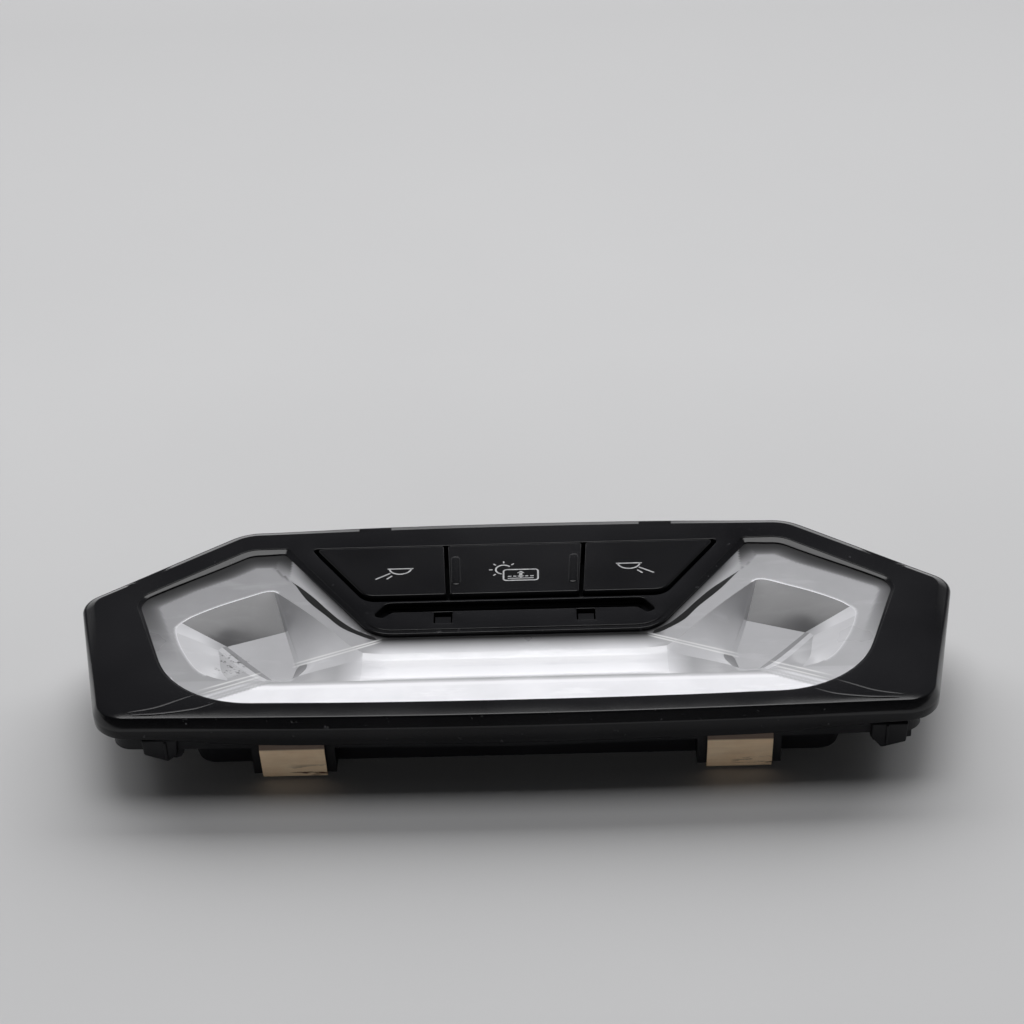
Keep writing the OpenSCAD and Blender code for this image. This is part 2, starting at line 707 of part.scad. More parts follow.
module rear_housing() {
    upper = inset(whole(rim_half), housing_inset);
    tray = whole(tray_half);
    color([0.08, 0.08, 0.085]) difference() {
        union() {
            slab(tray, 0, tray_h + eps);
            slab(upper, tray_h, frame_under);
            for (sx = [-1, 1]) for (sy = [-1, 1])
                place_clip(sx, sy) clip_tower(sy < 0 ? -tray_near : tray_far);
            for (x = hook_places) hook(x);
        }
        difference() {
            slab(inset(tray, housing_wall), housing_wall, ledge_z + 1);
            for (p = board_posts) both_sides() {
                rod(p.x, p.y, 0, board_low, 2.2);
                rod(p.x, p.y, 0, board_low + 1, 0.9);
            }
        }
        slab(inset(upper, housing_wall), ledge_z, frame_under + 1);
        screw_holes(screw_r + 0.3, 0, 40);
        screw_holes(head_r + 0.3, 0, tray_h + 0.6);
        block([socket_x - socket_w / 2 - 0.2, tray_far - housing_wall - 1, socket_low],
            [socket_x + socket_w / 2 + 0.2, tray_far + 1, tray_h]);
    }
}

// Six self-tapping screws from behind
module housing_screws() {
    head_low = tray_h + 0.6 - 2;
    color([0.6, 0.6, 0.62]) both_sides() for (p = screw_places) difference() {
        union() {
            rod(p.x, p.y, head_low, tray_h + 0.6, head_r);
            rod(p.x, p.y, head_low + 1, ledge_z + 5, screw_r - 0.05);
        }
        translate([p.x, p.y, head_low - 1]) cylinder(h = 2.2, r = 1.2, $fn = 6);
    }
}

bezel();
lens();
reflector();
light_guide_bar();
collimator(-1);  // left_collimator
collimator(1);  // right_collimator
side_key(-1);  // left_reading_button
centre_button();
side_key(1);  // right_reading_button
rocker_pin();
switch_frame();
switch_at(-post_x, keys_mid);  // left_switch
switch_at(post_x, keys_mid);  // right_switch
switch_at(0, keys_mid - rocker_arm);  // near_rocker_switch
switch_at(0, keys_mid + rocker_arm);  // far_rocker_switch
stem_at(-post_x, keys_mid);  // left_switch_stem
stem_at(post_x, keys_mid);  // right_switch_stem
stem_at(0, keys_mid - rocker_arm);  // near_rocker_stem
stem_at(0, keys_mid + rocker_arm);  // far_rocker_stem
circuit_board();
board_parts();
reading_led(-1);  // left_reading_led
reading_led(1);  // right_reading_led
bar_led_row();
symbol_leds();
plug_socket();
socket_contacts();
rear_housing();
place_clip(-1, -1) clip();  // near_left_clip
place_clip(1, -1) clip();  // near_right_clip
place_clip(-1, 1) clip();  // far_left_clip
place_clip(1, 1) clip();  // far_right_clip
housing_screws();
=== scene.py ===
import math
import bpy
import bmesh
import numpy as np
from mathutils import Matrix, Vector
from mathutils.geometry import delaunay_2d_cdt

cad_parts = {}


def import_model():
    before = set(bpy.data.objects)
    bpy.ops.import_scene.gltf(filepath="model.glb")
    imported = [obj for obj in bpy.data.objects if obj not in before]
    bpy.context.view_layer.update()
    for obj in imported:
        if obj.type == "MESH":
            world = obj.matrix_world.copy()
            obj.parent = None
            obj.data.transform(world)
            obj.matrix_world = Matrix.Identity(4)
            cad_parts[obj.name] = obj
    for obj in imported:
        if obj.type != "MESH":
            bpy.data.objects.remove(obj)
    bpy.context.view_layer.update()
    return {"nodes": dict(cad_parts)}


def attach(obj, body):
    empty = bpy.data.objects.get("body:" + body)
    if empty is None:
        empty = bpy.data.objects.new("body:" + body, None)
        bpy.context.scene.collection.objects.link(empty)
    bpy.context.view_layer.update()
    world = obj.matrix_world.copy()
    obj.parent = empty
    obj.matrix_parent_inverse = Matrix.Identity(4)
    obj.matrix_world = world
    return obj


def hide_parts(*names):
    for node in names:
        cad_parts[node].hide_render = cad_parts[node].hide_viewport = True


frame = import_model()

# ---- camera
# The photograph's view: a long lens from the near side, 35 degrees above the bench.
RIGHT = np.array([0.99943747, 0.00327137, -0.03337734])
DOWN = np.array([-0.02624598, -0.54327265, -0.83914598])
AHEAD = np.array([-0.02087815, 0.83954996, -0.54288118])
EYE = np.array([0.01043, -0.40445, 0.31192])


def place_camera():
    lens = bpy.data.cameras.new("photo_camera")
    lens.sensor_width = 36.0
    lens.lens = lens.sensor_width * 2000 / 1024  # a focal length of 2000 pixels of 1024
    lens.clip_start = 0.01
    camera = bpy.data.objects.new("photo_camera", lens)
    columns = np.column_stack([RIGHT, -DOWN, -AHEAD])
    turn = Matrix([list(row) for row in columns]).to_4x4()
    camera.matrix_world = Matrix.Translation(Vector(EYE)) @ turn
    bpy.context.scene.collection.objects.link(camera)
    bpy.context.scene.camera = camera


place_camera()

# ---- sizes in mm
FACE = 21.0                             # height of the bezel's flat crown
FAR, NEAR = 41.75, -41.75               # y of the rim's middle
OPENING_FAR, OPENING_NEAR = 30.05, 5.6  # y of the key opening's edges
KEY_FAR, KEY_NEAR = 29.05, 7.0          # y of the keys' edges
KEY_TOP, KEY_BASE = 21.7, 16.2
KEY_MID = (KEY_FAR + KEY_NEAR) / 2
PANEL_NEAR = -6.95                      # y of the key panel's near edge
LENS_NEAR = -35.45                      # y of the lens opening's near edge
LOBE_FAR = 30.35                        # y of its far edge, over the bowls
LENS_TOP = 20.2
BOW = 1e6                               # a corner this round is a point on a bowed edge


# ---- outlines
def unit(v):
    return v / np.linalg.norm(v)


def quarter(v):
    return np.array([-v[1], v[0]])


def whole(half):
    """A right-hand half outline of [x, y, radius] corners and its mirror image, anticlockwise."""
    half = [list(map(float, c)) for c in half]
    return half + [[-x, y, r] for x, y, r in reversed(half) if x > 1e-6]


def rectangle(x0, x1, y0, y1, r):
    return [[x0, y0, r], [x1, y0, r], [x1, y1, r], [x0, y1, r]]


def inset(corners, d):
    """Every edge of the outline moved inwards by d; corner radii follow the edges."""
    pts = np.array([c[:2] for c in corners])
    out = []
    for i, corner in enumerate(corners):
        back = unit(pts[i] - pts[i - 1])
        on = unit(pts[(i + 1) % len(pts)] - pts[i])
        a, b = quarter(back), quarter(on)
        bulge = back[0] * on[1] - back[1] * on[0]
        p = pts[i] + d * (a + b) / (1 + a @ b)
        out.append([p[0], p[1], max(corner[2] + (-d if bulge > 0 else d), 0.15)])
    return out


def ring(corners, arcs, sides):
    """Points along the outline: each corner is an arc of its radius, each side straight.

    Returns the points and, for each, the corner it belongs to as a running number, so that a
    value given at each corner can be carried along the outline.
    """
    pts = np.array([c[:2] for c in corners])
    n = len(pts)
    arc_list, where = [], []
    for i in range(n):
        q = pts[i]
        back, on = pts[i - 1] - q, pts[(i + 1) % n] - q
        half = math.acos(max(-1.0, min(1.0, unit(back) @ unit(on)))) / 2
        room = 0.49 * min(np.linalg.norm(back), np.linalg.norm(on)) * math.tan(half)
        r = min(corners[i][2], room)
        centre = q + unit(unit(back) + unit(on)) * r / math.sin(half)
        start = q + unit(back) * r / math.tan(half) - centre
        bulge = -back[0] * on[1] + back[1] * on[0]
        turn = (1 if bulge > 0 else -1) * (math.pi - 2 * half)
        a = turn * np.linspace(0, 1, arcs + 1)
        arc_list.append(np.column_stack([
            centre[0] + start[0] * np.cos(a) - start[1] * np.sin(a),
            centre[1] + start[0] * np.sin(a) + start[1] * np.cos(a)]))
    out = []
    for i in range(n):
        out.append(arc_list[i])
        where.append(np.full(arcs + 1, float(i)))
        t = np.linspace(0, 1, sides + 2)[1:-1]
        a, b = arc_list[i][-1], arc_list[(i + 1) % n][0]
        out.append(a + (b - a) * t[:, None])
        where.append(i + t)
    return np.vstack(out), np.concatenate(where)


def along(where, values):
    """A value given at each corner, eased from corner to corner along the outline."""
    n = len(values)
    i = np.floor(where).astype(int)
    t = where - i
    t = t * t * (3 - 2 * t)
    v = np.array(values, float)
    return v[i % n] * (1 - t) + v[(i + 1) % n] * t


def mirrored(values):
    """Values at a half outline's corners, for the whole outline (both middles included)."""
    return list(values) + list(values[-2:0:-1])


def lift(points, z):
    return np.column_stack([points[:, :2], np.full(len(points), z, float)])


def rounded(outline, soft, top, arcs, sides, angles=(0, 30, 60, 90)):
    """Rings over a quarter-circle edge of radius soft, from the outline up to the height top."""
    return [lift(ring(inset(outline, soft * (1 - math.cos(a))), arcs, sides)[0],
                 top - soft * (1 - math.sin(a))) for a in np.radians(angles)]


def quads(rows, columns):
    """The faces of a grid of points that is stored row by row."""
    i, j = np.meshgrid(np.arange(rows - 1), np.arange(columns - 1), indexing="ij")
    k = (i * columns + j).reshape(-1)
    return np.column_stack([k, k + columns, k + columns + 1, k + 1])


# ---- meshes
class Skin:
    """Collects grids and fills of one piece, in mm. Each point may hold a wear value and a tone
    (a screen grey of painted light and shade), and each face the number of the facet it is part
    of: edges between two facets stay crisp."""

    def __init__(self):
        self.points, self.faces, self.wear, self.tone, self.part, self.count = [], [], [], [], [], 0

    def add(self, points, faces, wear=0.0, tone=0.0, part=0):
        self.points.append(points)
        self.wear.append(np.full(len(points), wear, float))
        self.tone.append(np.full(len(points), tone, float))
        self.faces.extend([tuple(int(k) + self.count for k in f) for f in faces])
        self.part.append(np.full(len(faces), part))
        self.count += len(points)

    def loft(self, rings, wear=None):
        """Quads between equally long rings, from the outside in and from the bottom up."""
        n, m = len(rings[0]), len(rings)
        i = np.arange(n)
        j = np.arange(m - 1)[:, None]
        a, b = j * n + i, j * n + (i + 1) % n
        faces = np.stack([a, b, b + n, a + n], axis=-1).reshape(-1, 4)
        values = 0.0 if wear is None else np.repeat(np.asarray(wear, float), n)
        self.add(np.vstack(rings), faces, values)

    def fill(self, outer, holes, height, extra=(), tone=None, part=0):
        """Triangles over the flat region inside outer and outside the holes.

        height, a number or a function of x and y, gives z. tone is a function that gives greys of painted
        light and shade.
        """
        pts, edges, k = [], [], 0
        for loop in [outer, *holes]:
            n = len(loop)
            pts.append(loop[:, :2])
            edges += [(k + i, k + (i + 1) % n) for i in range(n)]
            k += n
        if len(extra):
            pts.append(extra)
        flat = np.vstack(pts)
        got = delaunay_2d_cdt([Vector(p) for p in flat], edges, [], 0, 1e-5)
        xy = np.array([tuple(v) for v in got[0]])
        tris = np.array([f for f in got[2] if len(f) == 3])
        mid = xy[tris].mean(axis=1)
        keep = inside(mid, outer)
        for hole in holes:
            keep &= ~inside(mid, hole)
        tris = tris[keep]
        a, b, c = xy[tris[:, 0]], xy[tris[:, 1]], xy[tris[:, 2]]
        cross = (b[:, 0] - a[:, 0]) * (c[:, 1] - a[:, 1]) - (b[:, 1] - a[:, 1]) * (c[:, 0] - a[:, 0])
        tris[cross < 0] = tris[cross < 0][:, ::-1]
        z = height(xy[:, 0], xy[:, 1]) if callable(height) else np.full(len(xy), float(height))
        level = tone(xy[:, 0], xy[:, 1]) if tone else 0.0
        self.add(np.column_stack([xy, z]), tris, 0, level, part)

    def facet(self, loop, part, step, level, vary):
        """A patch inside an outline in space: its height is the mean-value blend of the outline's."""
        blend = lambda x, y: mean_value(np.column_stack([x, y]), loop) @ loop[:, 2]
        self.fill(loop, (), blend, dots(loop, step, 0.3 * step), lambda x, y: level + vary(x, y), part)

    def make(self, name, material, sharp=32):
        """The mesh object, smooth but for edges sharper than sharp degrees or between facets."""
        mesh = bpy.data.meshes.new(name)
        points = np.vstack(self.points) * 0.001
        mesh.from_pydata(points.tolist(), [], self.faces)
        layer = mesh.attributes.new("wear", "FLOAT", "POINT")
        layer.data.foreach_set("value", np.concatenate(self.wear).astype(np.float32))
        at_corner = stored(mesh.loops, "vertex_index")
        # The tone layer holds painted light and shade as reflectances, one for each face corner.
        layer = mesh.attributes.new("tone", "FLOAT", "CORNER")
        layer.data.foreach_set("value", grey(np.concatenate(self.tone))[at_corner].astype(np.float32))
        numbers = mesh.attributes.new("part", "INT", "FACE")
        numbers.data.foreach_set("value", np.concatenate(self.part).astype(np.int32))
        soft = bmesh.new()
        soft.from_mesh(mesh)
        bmesh.ops.remove_doubles(soft, verts=soft.verts, dist=3e-6)
        bmesh.ops.dissolve_degenerate(soft, edges=soft.edges, dist=1e-7)
        soft.to_mesh(mesh)
        soft.free()
        mesh.polygons.foreach_set("use_smooth", np.ones(len(mesh.polygons), bool))
        mesh.set_sharp_from_angle(angle=math.radians(sharp))
        crisp_edges(mesh)
        mesh.materials.append(material)
        mesh.validate()
        piece = bpy.data.objects.new(name, mesh)
        bpy.context.scene.collection.objects.link(piece)
        return piece


def stored(items, name, kind=np.int32):
    """One number of every item of a mesh, as an array."""
    values = np.zeros(len(items), kind)
    items.foreach_get(name, values)
    return values


def crisp_edges(mesh):
    """Marks every edge between faces of two different facets sharp."""
    facet = stored(mesh.attributes["part"].data, "value")
    part = np.repeat(facet, stored(mesh.polygons, "loop_total"))
    edge_of = stored(mesh.loops, "edge_index")
    low = np.full(len(mesh.edges), part.max() + 1)
    high = np.full(len(mesh.edges), -1)
    np.minimum.at(low, edge_of, part)
    np.maximum.at(high, edge_of, part)
    sharp = stored(mesh.edges, "use_edge_sharp", bool)
    mesh.edges.foreach_set("use_edge_sharp", sharp | (low != high))


def grey(value):
    """A screen grey of 0 to 255 as the reflectance that renders to it."""
    return np.clip(np.asarray(value, float) / 255, 0, 1) ** 2.2


def curve(points, step=0.8):
    """A smooth line through the points: each span is the cubic set by its neighbours' chords."""
    p = np.array([(*q, 0)[:3] for q in points], float)
    p = np.vstack([2 * p[0] - p[1], p, 2 * p[-1] - p[-2]])
    out = []
    for i in range(1, len(p) - 2):
        n = max(1, int(round(np.linalg.norm(p[i + 1] - p[i]) / step)))
        t = np.linspace(0, 1, n + 1)[:-1, None]
        a, b, c, d = p[i - 1:i + 3]
        out.append(0.5 * (2 * b + (c - a) * t + (2 * a - 5 * b + 4 * c - d) * t ** 2
                          + (3 * b - a - 3 * c + d) * t ** 3))
    out.append(p[-2:-1])
    return np.vstack(out)


def joined(*parts):
    """One closed outline from several runs of points, without repeats where they meet."""
    p = np.vstack([np.atleast_2d(np.array(q, float)) for q in parts])
    keep = np.linalg.norm(p - np.roll(p, 1, axis=0), axis=1) > 1e-6
    return p[keep]


def mean_value(p, loop):
    """Mean-value weights of each point for the outline's corners: the smooth blend of what the
    corners hold, exact on the outline itself."""
    d = loop[None, :, :2] - p[:, None, :2]
    r = np.maximum(np.linalg.norm(d, axis=2), 1e-9)
    e = np.roll(d, -1, axis=1)
    turn = np.arctan2(d[..., 0] * e[..., 1] - d[..., 1] * e[..., 0], (d * e).sum(2))
    half = np.tan(turn / 2)
    w = (half + np.roll(half, 1, axis=1)) / r
    close = r < 2e-4
    w = np.where(close.any(1)[:, None], close * 1.0, w)
    return w / w.sum(1)[:, None]


def mirror_ring(points):
    return points[::-1] * [-1, 1, 1]


def dots(outline, step, clear):
    """An even triangular pattern of points inside an outline, kept clear of its edge."""
    low, high = outline[:, :2].min(0), outline[:, :2].max(0)
    row = step * 0.87
    nx, ny = int((high[0] - low[0]) / step) + 2, int((high[1] - low[1]) / row) + 2
    j, i = np.meshgrid(np.arange(ny), np.arange(nx), indexing="ij")
    p = np.column_stack([(low[0] + (i + 0.5 * (j % 2)) * step).ravel(), (low[1] + j * row).ravel()])
    p = p[inside(p, outline)]
    return p[distance(p, outline) > clear]


def inside(p, loop):
    """Even-odd test of points against a closed loop, as one array operation."""
    a, b = loop[:, :2], np.roll(loop[:, :2], -1, axis=0)
    x, y = p[:, 0, None], p[:, 1, None]
    crosses = (a[:, 1] > y) != (b[:, 1] > y)
    rise = np.where(b[:, 1] == a[:, 1], 1e-12, b[:, 1] - a[:, 1])
    at = (b[:, 0] - a[:, 0]) * (y - a[:, 1]) / rise + a[:, 0]
    return (np.sum(crosses & (x < at), axis=1) % 2).astype(bool)


def distance(p, loop, closed=True):
    """Distance of each point from a polyline."""
    a = loop[:, :2] if closed else loop[:-1, :2]
    b = np.roll(loop[:, :2], -1, axis=0) if closed else loop[1:, :2]
    d = b - a
    t = np.clip(np.einsum("pij,ij->pi", p[:, None, :] - a, d) / np.maximum((d ** 2).sum(1), 1e-12), 0, 1)
    near = a + t[..., None] * d
    return np.sqrt(((p[:, None, :] - near) ** 2).sum(-1)).min(1)


# ---- materials
def shader(name, colour, rough, metal=0.0, coat=0.0, coat_rough=0.05, spec=0.5):
    """A new material with the Principled shader's constants set, and that shader."""
    material = bpy.data.materials.new(name)
    material.use_nodes = True
    main = material.node_tree.nodes["Principled BSDF"]
    for socket, value in (("Base Color", (*colour, 1)), ("Roughness", rough), ("Metallic", metal),
                          ("Coat Weight", coat), ("Coat Roughness", coat_rough),
                          ("Specular IOR Level", spec)):
        main.inputs[socket].default_value = value
    return material, main


class Net:
    """Adds nodes to a material or the world and links them."""

    def __init__(self, owner, coordinates="Object"):
        self.tree = owner.node_tree
        self.where = self.node("ShaderNodeTexCoord").outputs[coordinates]

    def axes(self):
        return tuple(self.node("ShaderNodeSeparateXYZ", {0: self.where}).outputs)

    def link(self, a, b):
        self.tree.links.new(a, b)

    def node(self, kind, inputs=None, **settings):
        """A new node. Each input, by number or name, is linked to a socket or set to a value."""
        made = self.tree.nodes.new(kind)
        for key, value in settings.items():
            setattr(made, key, value)
        for key, value in (inputs or {}).items():
            if isinstance(value, bpy.types.NodeSocket):
                self.link(value, made.inputs[key])
            else:
                made.inputs[key].default_value = value
        return made

    def math(self, kind, a, b=0.0, clamp=False):
        return self.node("ShaderNodeMath", {0: a, 1: b}, operation=kind, use_clamp=clamp).outputs[0]

    def times(self, *factors, clamp=False):
        product = factors[0]
        for factor in factors[1:]:
            product = self.math("MULTIPLY", product, factor, clamp)
        return product

    def noise(self, scale, detail, rough=0.5, stretch=(1, 1, 1)):
        place = self.node("ShaderNodeMapping", {"Vector": self.where, "Scale": stretch}).outputs[0]
        return self.node("ShaderNodeTexNoise", {"Vector": place, "Scale": scale, "Detail": detail,
                                                "Roughness": rough}).outputs["Fac"]

    def ramp(self, fac, low, high, a=0.0, b=1.0):
        """Runs from a at low to b at high, and is level beyond them."""
        return self.node("ShaderNodeMapRange", {"Value": fac, "From Min": low, "From Max": high,
                                                "To Min": a, "To Max": b}).outputs[0]

    def between(self, fac, a, b, c, d):
        """1 between b and c, falling to 0 at a and d."""
        return self.times(self.ramp(fac, a, b), self.ramp(fac, d, c))

    def mix(self, fac, a, b):
        a, b = ((*v, 1) if isinstance(v, tuple) else v for v in (a, b))
        return self.node("ShaderNodeMix", {0: fac, 6: a, 7: b}, data_type="RGBA").outputs[2]

    def bump(self, height, strength, distance_mm, onto):
        made = self.node("ShaderNodeBump", {"Height": height, "Strength": strength,
                                            "Distance": distance_mm * 0.001})
        self.link(made.outputs[0], onto.inputs["Normal"])


def moulded_plastic(name, colour, rough, grain=0.35, wear=False, spread=0.06, spec=0.5):
    """Moulded plastic: a fine pebbled grain and cloudy gloss. With wear set it has paler nicks
    where the mesh's wear value allows them, and a duller wall below 17.5 mm."""
    material, main = shader(name, colour, rough, spec=spec)
    net = Net(material)
    net.link(net.ramp(net.noise(60, 3), 0.3, 0.7, rough - spread, rough + spread), main.inputs["Roughness"])
    pale = tuple(min(1.0, c * 1.35 + 0.004) for c in colour)
    tint = net.mix(net.ramp(net.noise(25, 2), 0.35, 0.65), colour, pale)
    if wear:
        mark = net.node("ShaderNodeAttribute", attribute_name="wear")
        spots = net.ramp(net.noise(420, 5, 0.62), 0.655, 0.7)
        nick = net.times(mark.outputs["Fac"], spots, clamp=True)
        tint = net.mix(nick, tint, (0.16, 0.16, 0.165))
        wall = net.ramp(net.axes()[2], 0.0174, 0.0178, 0.24, spec)
        net.link(wall, main.inputs["Specular IOR Level"])
    net.link(tint, main.inputs["Base Color"])
    net.bump(net.noise(2600, 2), grain, 0.02, main)
    return material


def metal(name, colour, rough):
    """Bare metal: a fine grain and cloudy brightness."""
    material, main = shader(name, colour, rough, metal=1.0)
    net = Net(material)
    lines = net.noise(900, 3, 0.6)
    dark = tuple(c * 0.72 for c in colour)
    net.link(net.mix(net.ramp(lines, 0.3, 0.7), dark, colour), main.inputs["Base Color"])
    net.link(net.ramp(net.noise(70, 3), 0.3, 0.7, rough - 0.07, rough + 0.07), main.inputs["Roughness"])
    net.bump(lines, 0.15, 0.02, main)
    return material


GLOSS_BLACK = moulded_plastic("bezel_plastic", (0.0052, 0.0052, 0.0062), 0.13, grain=0.05, wear=True,
                              spread=0.03)
KEY_BLACK = moulded_plastic("key_plastic", (0.0042, 0.0042, 0.005), 0.2, grain=0.12, spread=0.03, spec=0.42)
HOUSING_BLACK = moulded_plastic("housing_plastic", (0.009, 0.009, 0.0105), 0.5, grain=0.5, spec=0.3)
FRAME_BLACK = moulded_plastic("frame_plastic", (0.004, 0.004, 0.005), 0.6, grain=0.3, spec=0.12)
SWITCH_GREY = moulded_plastic("switch_plastic", (0.04, 0.04, 0.045), 0.45)
STEM_WHITE = moulded_plastic("stem_plastic", (0.62, 0.62, 0.58), 0.4)
GUIDE_WHITE = moulded_plastic("guide_milky", (0.8, 0.81, 0.82), 0.35)
REFLECTOR = moulded_plastic("reflector_satin", (0.42, 0.43, 0.45), 0.32)
BOARD_GREEN = moulded_plastic("board_laminate", (0.02, 0.11, 0.05), 0.4)
CHIP_BLACK = moulded_plastic("chip_black", (0.02, 0.02, 0.02), 0.5)
LED_YELLOW = moulded_plastic("led_package", (0.75, 0.62, 0.22), 0.35)
OPTIC = moulded_plastic("optic_clear", (0.8, 0.82, 0.84), 0.08)
STEEL = metal("pin_steel", (0.55, 0.55, 0.57), 0.3)
CONTACT = metal("contact_metal", (0.68, 0.6, 0.38), 0.3)


def clip_steel():
    """Tan passivated spring steel: lines along the leaf, brown stains low on its face, and painted shade
    that turns its top dark brown above 10.4 mm, under the rim.
    """
    material, main = shader("clip_steel", (0.6, 0.47, 0.31), 0.38, metal=0.05)
    net = Net(material)
    lines = net.noise(700, 4, 0.6, (0.12, 1, 1))
    tan = net.mix(net.ramp(net.noise(160, 4, 0.6), 0.3, 0.7), (0.92, 0.68, 0.45), (1.0, 0.8, 0.56))
    tan = net.mix(net.ramp(lines, 0.35, 0.75, 0.0, 0.35), tan, (0.6, 0.42, 0.27))
    x, _, z = net.axes()
    band = net.ramp(z, 0.0030, 0.0055, 1.0, 0.0)
    spots = net.ramp(net.noise(240, 5, 0.6, (0.4, 1, 2.2)), 0.5, 0.57)
    leaf = net.math("MODULO", net.math("ADD", x, 0.1664), 0.1058)  # x along either clip's leaf
    stain = net.times(band, spots, net.ramp(leaf, 0.0055, 0.0095), clamp=True)
    # Painted shade: dark brown above 10.4 mm, where the clip sits under the rim.
    tan = net.mix(net.ramp(z, 0.0100, 0.0104), tan, (0.16, 0.11, 0.08))
    net.link(net.mix(stain, tan, (0.05, 0.012, 0.005)), main.inputs["Base Color"])
    net.link(net.ramp(stain, 0, 1, 0.4, 0.65), main.inputs["Roughness"])
    net.bump(lines, 0.2, 0.02, main)
    return material


CLIP = clip_steel()


def print_ink():
    """Pale printed ink, a little uneven."""
    material, main = shader("symbol_ink", (0.42, 0.42, 0.43), 0.6)
    net = Net(material)
    net.link(net.mix(net.ramp(net.noise(900, 3), 0.35, 0.65), (0.36, 0.36, 0.37), (0.5, 0.5, 0.51)),
             main.inputs["Base Color"])
    return material


INK = print_ink()


def seam_plane(net, a, b):
    """Distance in metres of the surface from the plane through the eye point and the line from a
    to b, which are x and y in mm at the lens's top."""
    p, q = (np.array([*c, LENS_TOP]) * 0.001 - EYE for c in (a, b))
    n = unit(np.cross(p, q))
    dot = net.node("ShaderNodeVectorMath", {0: net.where, 1: tuple(n)}, operation="DOT_PRODUCT")
    return net.math("ABSOLUTE", net.math("SUBTRACT", dot.outputs["Value"], float(n @ EYE)))


def lens_silver():
    """The lens over its satin silver tray, seen as one coated surface: the tone stored on the
    mesh, which is painted light and shade, cloudy haze that also lifts that tone by about a sixth,
    wipe marks, specks of dirt low in the left bowl, and the pale mould seams, which are cut by
    planes so that they run on unbroken over flange and bowls."""
    material, main = shader("lens_clear", (0.4, 0.4, 0.42), 0.3, metal=0.15, coat=0.75, coat_rough=0.12,
                            spec=0.4)
    net = Net(material)
    # Painted light and shade: the tone attribute becomes the lens's base colour.
    base = net.node("ShaderNodeAttribute", attribute_name="tone").outputs["Fac"]
    # cloud varies the painted tone at random and lifts it by about a sixth on average.
    cloud = net.ramp(net.noise(75, 4, 0.55), 0.3, 0.7, 1.10, 1.22)
    wipe = net.ramp(net.noise(150, 5, 0.6, (0.35, 1.4, 1)), 0.56, 0.72, 1.0, 1.14)
    level = net.times(base, cloud, wipe, clamp=True)
    x, y, _ = net.axes()
    run = net.math("ABSOLUTE", x)
    gap = net.between(run, 0.0535, 0.0550, 0.0620, 0.0635)
    ends = net.times(net.between(run, 0.0325, 0.0345, 0.071, 0.076), net.math("SUBTRACT", 1.0, gap))
    seams = 0.0
    for s in (1, -1):
        for a, b in (((33.0 * s, -9.5), (73.2 * s, -27.1)), ((32.4 * s, -10.15), (71.9 * s, -28.2))):
            near = net.ramp(seam_plane(net, a, b), 0.00010, 0.00024, 1.0, 0.0)
            seams = net.math("MAXIMUM", net.times(near, net.ramp(x, -0.001 * s, 0.001 * s)), seams)
    low_left = net.times(net.between(x, -0.0735, -0.0722, -0.0672, -0.0655),
                         net.between(y, -0.0205, -0.0185, -0.0095, -0.0065))
    dirt = net.times(low_left, net.ramp(net.noise(620, 5, 0.7), 0.54, 0.60), clamp=True)
    tint = net.node("ShaderNodeCombineColor", {0: level, 1: level, 2: net.times(level, 1.04)}).outputs[0]
    shade = net.mix(net.times(seams, ends, 0.6), tint, (0.9, 0.9, 0.9))
    shade = net.mix(net.times(dirt, 0.8), shade, (0.05, 0.05, 0.05))
    net.link(shade, main.inputs["Base Color"])
    net.link(net.ramp(net.noise(45, 3), 0.3, 0.7, 0.26, 0.36), main.inputs["Roughness"])
    net.bump(net.noise(170, 2), 0.04, 0.05, main)
    return material


LENS = lens_silver()

FINISHES = [
    (GLOSS_BLACK, "bezel"), (LENS, "lens"), (REFLECTOR, "reflector"), (GUIDE_WHITE, "light_guide_bar"),
    (KEY_BLACK, "left_reading_button centre_button right_reading_button"),
    (OPTIC, "left_collimator right_collimator"), (STEEL, "rocker_pin housing_screws"),
    (FRAME_BLACK, "switch_frame plug_socket"), (HOUSING_BLACK, "rear_housing"),
    (SWITCH_GREY, "left_switch right_switch near_rocker_switch far_rocker_switch"),
    (STEM_WHITE, "left_switch_stem right_switch_stem near_rocker_stem far_rocker_stem"),
    (BOARD_GREEN, "circuit_board"), (CHIP_BLACK, "board_parts"), (CONTACT, "socket_contacts"),
    (LED_YELLOW, "left_reading_led right_reading_led bar_led_row symbol_leds"),
    (CLIP, "near_left_clip near_right_clip far_left_clip far_right_clip"),
]


def dress_nodes():
    for finish, names in FINISHES:
        for name in names.split():
            for slot in frame["nodes"][name].material_slots:
                slot.material = finish


dress_nodes()

# ---- bezel
# Each list holds a value for every corner, from the near middle round the right to the far middle.
RIM = inset(whole([[0, NEAR, BOW], [98.45, NEAR + 2.2, 9], [110.44, 10.5, 7], [71.95, FAR - 1.4, 13],
                   [0, FAR, BOW]]), 0.02)
RIM_COUNTS = 14, 26                              # points to an arc and to a side
WALL, WALL_TOP, FOOT_SOFT = 2.0, 17.5, 0.35      # the rim's wall, and the rounding of its foot
ROLL_WIDE = mirrored([1.3, 1.3, 0.9, 0.8, 0.8])  # the outer edge: its width,
ROLL_TALL = mirrored([2.9, 2.6, 1.1, 0.8, 0.8])  # its height,
SLANT = mirrored([1.0, 0.8, 0.0, 0.0, 0.0])      # and how far it is a slanted band, not an ellipse
FALL = mirrored([3.8, 2.6, 2.4, 2.4, 2.2])       # the chamfer: its width,
DROP = mirrored([0.55, 0.4, 1.3, 1.1, 0.7])      # its depth,
BEND = mirrored([1.2, 1.3, 1.05, 1.0, 1.0])      # and its curvature, where 1 is flat
